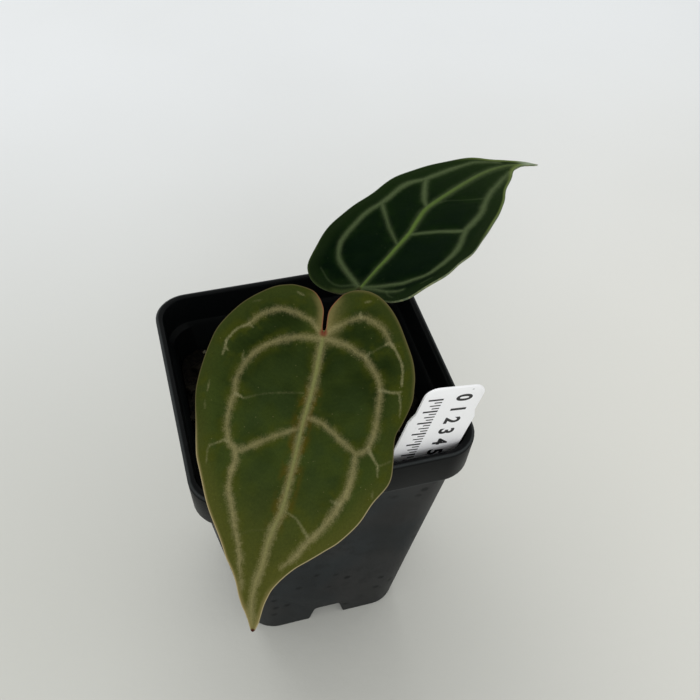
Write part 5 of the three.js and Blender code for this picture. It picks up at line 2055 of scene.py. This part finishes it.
@dataclass
class StemAndRoots:
    """The short stem with rings of old leaf scars, and the thick roots that leave it above the mix."""

    part: PartFrame
    skin: StemSkin
    radius: float = 3.6
    foot_z: float = 58.0
    top_z: float = 78.5
    scars: int = 4
    surface_z: float = 71.0
    root_turns: tuple[float, ...] = (0.5, 2.5, 4.1)
    root_radius: float = 1.1
    rise: float = 5.5
    reach: float = 10.0
    dive: float = 9.0

    def build(self) -> Piece:
        """Models stem and roots as one piece and dresses it.

        Returns:
            The piece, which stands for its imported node.
        """
        stem = self.stem()
        for turn in self.root_turns:
            combine(stem, self.root(turn), "UNION")
        places = self.part.back(read_places(stem.data))
        away = np.hypot(places[:, 0], places[:, 1])
        ring = np.cos((places[:, 2] - self.foot_z) / (self.top_z - self.foot_z) * self.scars * math.tau)
        write_values(stem.data, "cork", np.clip(0.35 + 0.5 * ring, 0, 1))
        write_values(stem.data, "root", ramp(away, 4.2, 5.4))
        smooth(stem, 50)
        return hand_over(stem, [self.skin.material()], "stem_skin", "stem")

    def stem(self) -> Piece:
        """The stem, spun from its outline, with a slightly uneven skin.

        Returns:
            The stem without its roots.
        """
        deselect()
        bpy.ops.mesh.primitive_plane_add(size=MM, location=self.part.at(0, 0, self.foot_z))
        stem = take_new("stem_and_roots")
        steps = self.scars * 12
        profile = [(0.0, self.foot_z)]
        for step in range(steps + 1):
            share = step / steps
            ridge = max(0.0, math.cos(share * self.scars * math.tau)) ** 3 * 0.5 - 0.2
            radius = self.radius * (0.75 + 0.35 * math.sin(share * math.pi * 0.75)) + ridge * 0.6
            radius *= 1 - 0.35 * max(0.0, share - 0.94) / 0.06
            profile.append((radius, self.foot_z + (self.top_z - self.foot_z) * share))
        profile.append((0.0, self.top_z + 0.25))
        with Editing(stem) as editing:
            shape = bmesh.from_edit_mesh(stem.data)
            bmesh.ops.delete(shape, geom=list(shape.verts), context="VERTS")
            verts = [shape.verts.new(self.part.at(radius, 0, z)) for radius, z in profile]
            for start, end in pairwise(verts):
                shape.edges.new((start, end))
            bmesh.update_edit_mesh(stem.data)
            bpy.ops.mesh.select_all(action="SELECT")
            bpy.ops.mesh.spin(steps=28, angle=math.tau, center=self.part.at(0, 0, 0), axis=(0, 0, 1))
            bpy.ops.mesh.select_all(action="SELECT")
            bpy.ops.mesh.remove_doubles(threshold=0.01 * MM)
            editing.face_outwards()
        places = self.part.back(read_places(stem.data))
        bent = np.array([noise.noise(Vector(place) / 2.2) for place in places]) * 0.35
        away = np.hypot(places[:, 0], places[:, 1]).clip(0.01)
        places[:, :2] *= (1 + bent * np.minimum(away, 1.0) / away)[:, None]
        write_places(stem.data, self.part.many(places))
        return stem

    def root(self, turn: float) -> Piece:
        """A thick root that bends down into the mix.

        Args:
            turn: Which way it leaves the stem, in radians.

        Returns:
            The root.
        """
        way = Vector((math.cos(turn), math.sin(turn), 0))
        stops = [
            way * 0.5 + Vector((0, 0, self.surface_z + self.rise)),
            way * self.reach * 0.5 + Vector((0, 0, self.surface_z + self.rise - 1)),
            way * self.reach * 0.85 + Vector((0, 0, self.surface_z + self.rise - 4)),
            way * self.reach + Vector((0, 0, self.surface_z - self.dive)),
        ]
        points = space_line(stops, 28)
        taper = np.linspace(1, 0.65, len(points)) * self.root_radius
        radii = [radius + noise.noise(place / 1.7) * 0.14 for radius, place in zip(taper, points)]
        return tube("root", [[self.part.at(*place) for place in points]], radii, 4)


@dataclass
class Cataphyll:
    """A dry sheath that half wraps a stalk's foot, and stands off it towards its torn point."""

    part: PartFrame
    line: StalkLine
    name: str
    node: str
    facing: float
    skin: DrySheath
    height: float = 15.0
    radius: float = 2.35
    thickness: float = 0.45
    wrap: float = 1.9
    tip_wrap: float = 0.12
    lean: float = 2.2
    tear: float = 1.4
    steps: int = 44
    sides: int = 30

    def build(self) -> Piece:
        """Models the sheath and dresses it.

        Returns:
            The sheath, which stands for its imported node.
        """
        points = self.line.points(200)
        foot = points[11]
        up = (points[22] - points[18]).normalized()
        out = Vector((math.cos(self.facing), math.sin(self.facing), 0))
        out = (out - up * out.dot(up)).normalized()
        across = up.cross(out)
        deselect()
        bpy.ops.mesh.primitive_grid_add(x_subdivisions=self.sides, y_subdivisions=self.steps, size=2)
        sheath = take_new(self.name)
        grid = read_places(sheath.data)
        side, share = grid[:, 0], (grid[:, 1] + 1) / 2
        half_angle = self.wrap + (self.tip_wrap - self.wrap) * share**1.6
        angle = side * half_angle
        creases = np.array([noise.noise(Vector((x * 3.2, y * 0.9, self.facing))) for x, y in grid[:, :2]])
        radius = self.radius + self.thickness + creases * 0.35 * ramp(share, 0.1, 0.6)
        torn = np.array([noise.noise(Vector((x * 5.0, 0.4, self.facing))) for x in side]) * self.tear
        places = (
            np.array(foot)
            + np.outer(self.height * share + torn * ramp(share, 0.7, 1.0), up)
            + np.outer(self.lean * share**2 + np.cos(angle) * radius, out)
            + np.outer(np.sin(angle) * radius, across)
        )
        write_places(sheath.data, self.part.many(places))
        write_values(sheath.data, "across", side)
        write_values(sheath.data, "run", share * self.height)
        with Editing(sheath) as editing:
            editing.face_outwards()
        self.turn_out(sheath, out)
        apply_modifier(sheath, "SOLIDIFY", thickness=self.thickness * MM, offset=-1.0)
        smooth(sheath, 60)
        return hand_over(sheath, [self.skin.material()], "dry_sheath", self.node)

    @staticmethod
    def turn_out(sheath: Piece, out: Vector) -> None:
        """Turns the sheath's faces so that they look away from the stalk.

        Args:
            sheath: The sheath, still one sheet.
            out: The way away from the stalk.
        """
        middle = sheath.data.polygons[len(sheath.data.polygons) // 2]
        if middle.normal.dot(out) < 0:
            with Editing(sheath):
                bpy.ops.mesh.select_all(action="SELECT")
                bpy.ops.mesh.flip_normals()


# Label


@dataclass
class PlantLabel:
    """The stake label: a pointed foot, straight sides, a narrower rounded head and a plain printed scale."""

    part: PartFrame
    plastic: LabelPlastic
    ink: PrintInk
    width: float = 16.8
    head_width: float = 14.8
    thickness: float = 0.6
    head_top: float = 26.4
    shoulder: float = 13.8
    neck: float = 16.9
    foot: float = -74.0
    point: float = 9.0
    corner: float = 3.2
    lean: float = math.radians(9.7)
    wall_slope: float = math.atan(9.5 / 78.3)
    rim_place: Triple = (21.3, -30.5, 87.0)
    print_start: float = 4.0
    digits: int = 9
    digit_size: float = 5.2
    digit_step: float = 4.6
    ticks: int = 37
    tick_step: float = 1.15
    print_lift: float = 0.012
    edge_round: float = 0.12

    def stand(self, piece: Piece) -> None:
        """Moves a mesh from the label's flat place to its place in the pot.

        Args:
            piece: The piece to move.
        """
        piece.data.transform(
            Matrix.Translation(self.part.at(*self.rim_place))
            @ Matrix.Rotation(self.wall_slope, 4, "X")
            @ Matrix.Rotation(self.lean, 4, "Y")
            @ Matrix.Rotation(math.pi / 2, 4, "X")
        )

    def build(self) -> list[Piece]:
        """Models the label and its print.

        Returns:
            The label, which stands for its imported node, and the print.
        """
        label, marks = self.stake(), self.scale_marks()
        self.stand(label)
        self.stand(marks)
        return [
            hand_over(label, [self.plastic.material()], "label_plastic", "plant_label"),
            hand_over(marks, [self.ink.material()], "label_plastic"),
        ]

    def stake(self) -> Piece:
        """The bare label, flat: its foot is drawn to a point and its head's corners are rounded.

        Returns:
            The stake.
        """
        deselect()
        bpy.ops.mesh.primitive_plane_add(size=1)
        stake = take_new("stake_label")
        half, low = self.width / 2 * MM, (self.foot + self.point) * MM
        with Editing(stake) as editing:
            for side, height in ((-1, low), (1, low), (-1, self.shoulder * MM), (1, self.shoulder * MM)):
                over = 0.5 if height == low else -0.5
                editing.take(lambda co: co.x * side > 0 > co.y * over)
                bpy.ops.transform.translate(value=((half - 0.5) * side, height + over, 0))
            editing.take_edges(lambda edge: all(v.co.y < low + MM for v in edge.verts))
            bpy.ops.mesh.extrude_edges_move(TRANSFORM_OT_translate={"value": (0, -self.point * MM, 0)})
            bpy.ops.mesh.merge(type="CENTER")
            for y, next_y, wide in (
                (self.shoulder, self.neck, self.head_width / self.width), (self.neck, self.head_top, 1.0),
            ):
                editing.take_edges(lambda edge: all(v.co.y > (y - 0.1) * MM for v in edge.verts))
                bpy.ops.mesh.extrude_edges_move(TRANSFORM_OT_translate={"value": (0, (next_y - y) * MM, 0)})
                bpy.ops.transform.resize(value=(wide, 1, 1), center_override=(0, 0, 0))
            bpy.ops.mesh.select_mode(type="VERT")
            editing.take(lambda co: co.y > (self.head_top - 0.1) * MM)
            bpy.ops.mesh.bevel(offset=self.corner * MM, segments=8, profile=0.5, affect="VERTICES")
        apply_modifier(stake, "SOLIDIFY", thickness=self.thickness * MM, offset=0.0)
        apply_modifier(
            stake, "BEVEL", width=self.edge_round * MM, segments=2, limit_method="ANGLE",
            angle_limit=math.radians(60),
        )
        smooth(stake, 35)
        heights = read_places(stake.data)[:, 1] / MM
        write_values(stake.data, "top_gap", self.head_top - heights)
        return stake

    def scale_marks(self) -> Piece:
        """Two rows of plain print along the label: numbers, and short and long ticks.

        Returns:
            The print as one piece.
        """
        marks = []
        lift, start = (self.thickness / 2 + self.print_lift) * MM, self.head_top - self.print_start
        for number in range(self.digits):
            deselect()
            bpy.ops.object.text_add(rotation=(0, 0, -math.pi / 2))
            digit = bpy.context.object
            digit.data.body = str(number)
            digit.data.size, digit.data.extrude = self.digit_size * MM, self.print_lift * MM
            digit.data.offset = 0.17 * MM
            digit.data.align_x = "CENTER"
            digit.location = (MM, (start - number * self.digit_step) * MM, lift)
            bpy.ops.object.convert(target="MESH")
            marks.append(take_new(f"digit_{number}"))
        for number in range(self.ticks):
            length, width = ((3.6, 0.6), (1.8, 0.4), (2.6, 0.4), (1.8, 0.4))[number % 4]
            deselect()
            bpy.ops.mesh.primitive_cube_add(
                size=1, scale=(length * MM, width * MM, 2 * self.print_lift * MM),
                location=((-2.4 - length / 2) * MM, (start - number * self.tick_step) * MM, lift),
            )
            marks.append(take_new(f"tick_{number}"))
        choose(*marks)
        bpy.ops.object.join()
        printed = bpy.context.object
        printed.name = printed.data.name = "label_print"
        return printed


# Studio


@dataclass
class Studio:
    """The pale table top, the soft light from above and behind, and the camera."""

    part: PartFrame
    top: PaleTop
    table_size: float = 6.0
    sky_strength: float = 0.76
    aim_height: float = 50.0
    lens: float = 48.85
    sensor: float = 36.0
    eye: Triple = (-38.24, -156.06, 270.47)
    turn: Triple = (42.689, -1.761, -15.629)

    def build(self) -> None:
        """Sets the stage."""
        self.table_top()
        self.sky()
        self.lamp("window_light", (-0.08, 1.05, 1.4), size=1.3, power=9.5)
        self.lamp("front_fill", (-0.35, -1.2, 0.75), size=1.0, power=7.5)
        self.camera()

    def table_top(self) -> None:
        """The surface that the pot stands on."""
        deselect()
        bpy.ops.mesh.primitive_plane_add(size=self.table_size, location=(0, 0, 0))
        table = take_new("pale_table")
        with Editing(table):
            bpy.ops.mesh.select_all(action="SELECT")
            bpy.ops.mesh.subdivide(number_cuts=8)
        table.data.materials.append(self.top.material())

    def sky(self) -> None:
        """Even light from all sides."""
        world = bpy.data.worlds.new("soft_room")
        world.use_nodes = True
        background = world.node_tree.nodes["Background"]
        background.inputs["Color"].default_value = tone(246, 246, 243)
        background.inputs["Strength"].default_value = self.sky_strength
        bpy.context.scene.world = world

    def lamp(self, name: str, place: Triple, size: float, power: float) -> None:
        """A square soft lamp that looks at the plant.

        Args:
            name: The lamp's name.
            place: Where it hangs, in metres from the pot's foot.
            size: Its side, in metres.
            power: Its power, in watts.
        """
        light = bpy.data.lights.new(name, "AREA")
        light.size, light.energy = size, power
        lamp = bpy.data.objects.new(name, light)
        lamp.visible_glossy = False
        lamp.location = self.part.middle + Vector(place)
        target = self.part.at(0, 0, self.aim_height)
        lamp.rotation_euler = (target - lamp.location).to_track_quat("-Z", "Y").to_euler()
        bpy.context.scene.collection.objects.link(lamp)

    def camera(self) -> None:
        """The camera at the photograph's place."""
        data = bpy.data.cameras.new("camera")
        data.lens, data.sensor_width = self.lens, self.sensor
        data.clip_start, data.clip_end = 0.01, 20
        camera = bpy.data.objects.new("camera", data)
        camera.location = self.part.at(*self.eye)
        camera.rotation_euler = tuple(math.radians(angle) for angle in self.turn)
        bpy.context.scene.collection.objects.link(camera)
        bpy.context.scene.camera = camera
        bpy.context.scene.view_settings.view_transform = "Standard"


def write_sizes() -> None:
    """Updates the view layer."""
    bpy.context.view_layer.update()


def main() -> None:
    """Builds and dresses every sub-assembly in order."""
    logging.basicConfig(level=logging.INFO, format="%(name)s: %(message)s")
    part = PartFrame.of_pot()
    pot = NurseryPot(part, BlackPlastic())
    pot.build()
    PottingMixBed(part, pot, DampPeat(), BarkSkin(), PumiceSkin()).build()
    StemAndRoots(part, StemSkin()).build()
    front_line = StalkLine(FRONT_PLAN, (-0.6, -1.9, 77.0), (-0.5, 3, 3))
    back_line = StalkLine(BACK_PLAN, (1.2, 1.7, 77.0), (1, 2.5, 0))
    LeafStalk(part, front_line, "front_stalk", "petiole_front", StalkSkin()).build()
    LeafStalk(part, back_line, "back_stalk", "petiole_back", StalkSkin()).build()
    Cataphyll(part, front_line, "front_sheath", "cataphyll_front", -2.2, DrySheath()).build()
    Cataphyll(part, back_line, "back_sheath", "cataphyll_back", 0.6, DrySheath()).build()
    LeafBlade(
        part, FRONT_PLAN, FRONT_PALETTE,
        LeafUnderside("young_leaf", tone(96, 104, 62), tone(150, 150, 100)),
        LeafMargin("young_leaf", tone(176, 162, 126), tone(160, 96, 78), tone(58, 26, 16)),
    ).build()
    LeafBlade(
        part, BACK_PLAN, BACK_PALETTE,
        LeafUnderside("mature_leaf", tone(74, 92, 58), tone(126, 140, 92)),
        LeafMargin("mature_leaf", tone(84, 97, 72), tone(90, 92, 66), tone(140, 150, 128)),
    ).build()
    PlantLabel(part, LabelPlastic(), PrintInk()).build()
    Studio(part, PaleTop()).build()
    write_sizes()


if __name__ == "__main__":
    main()
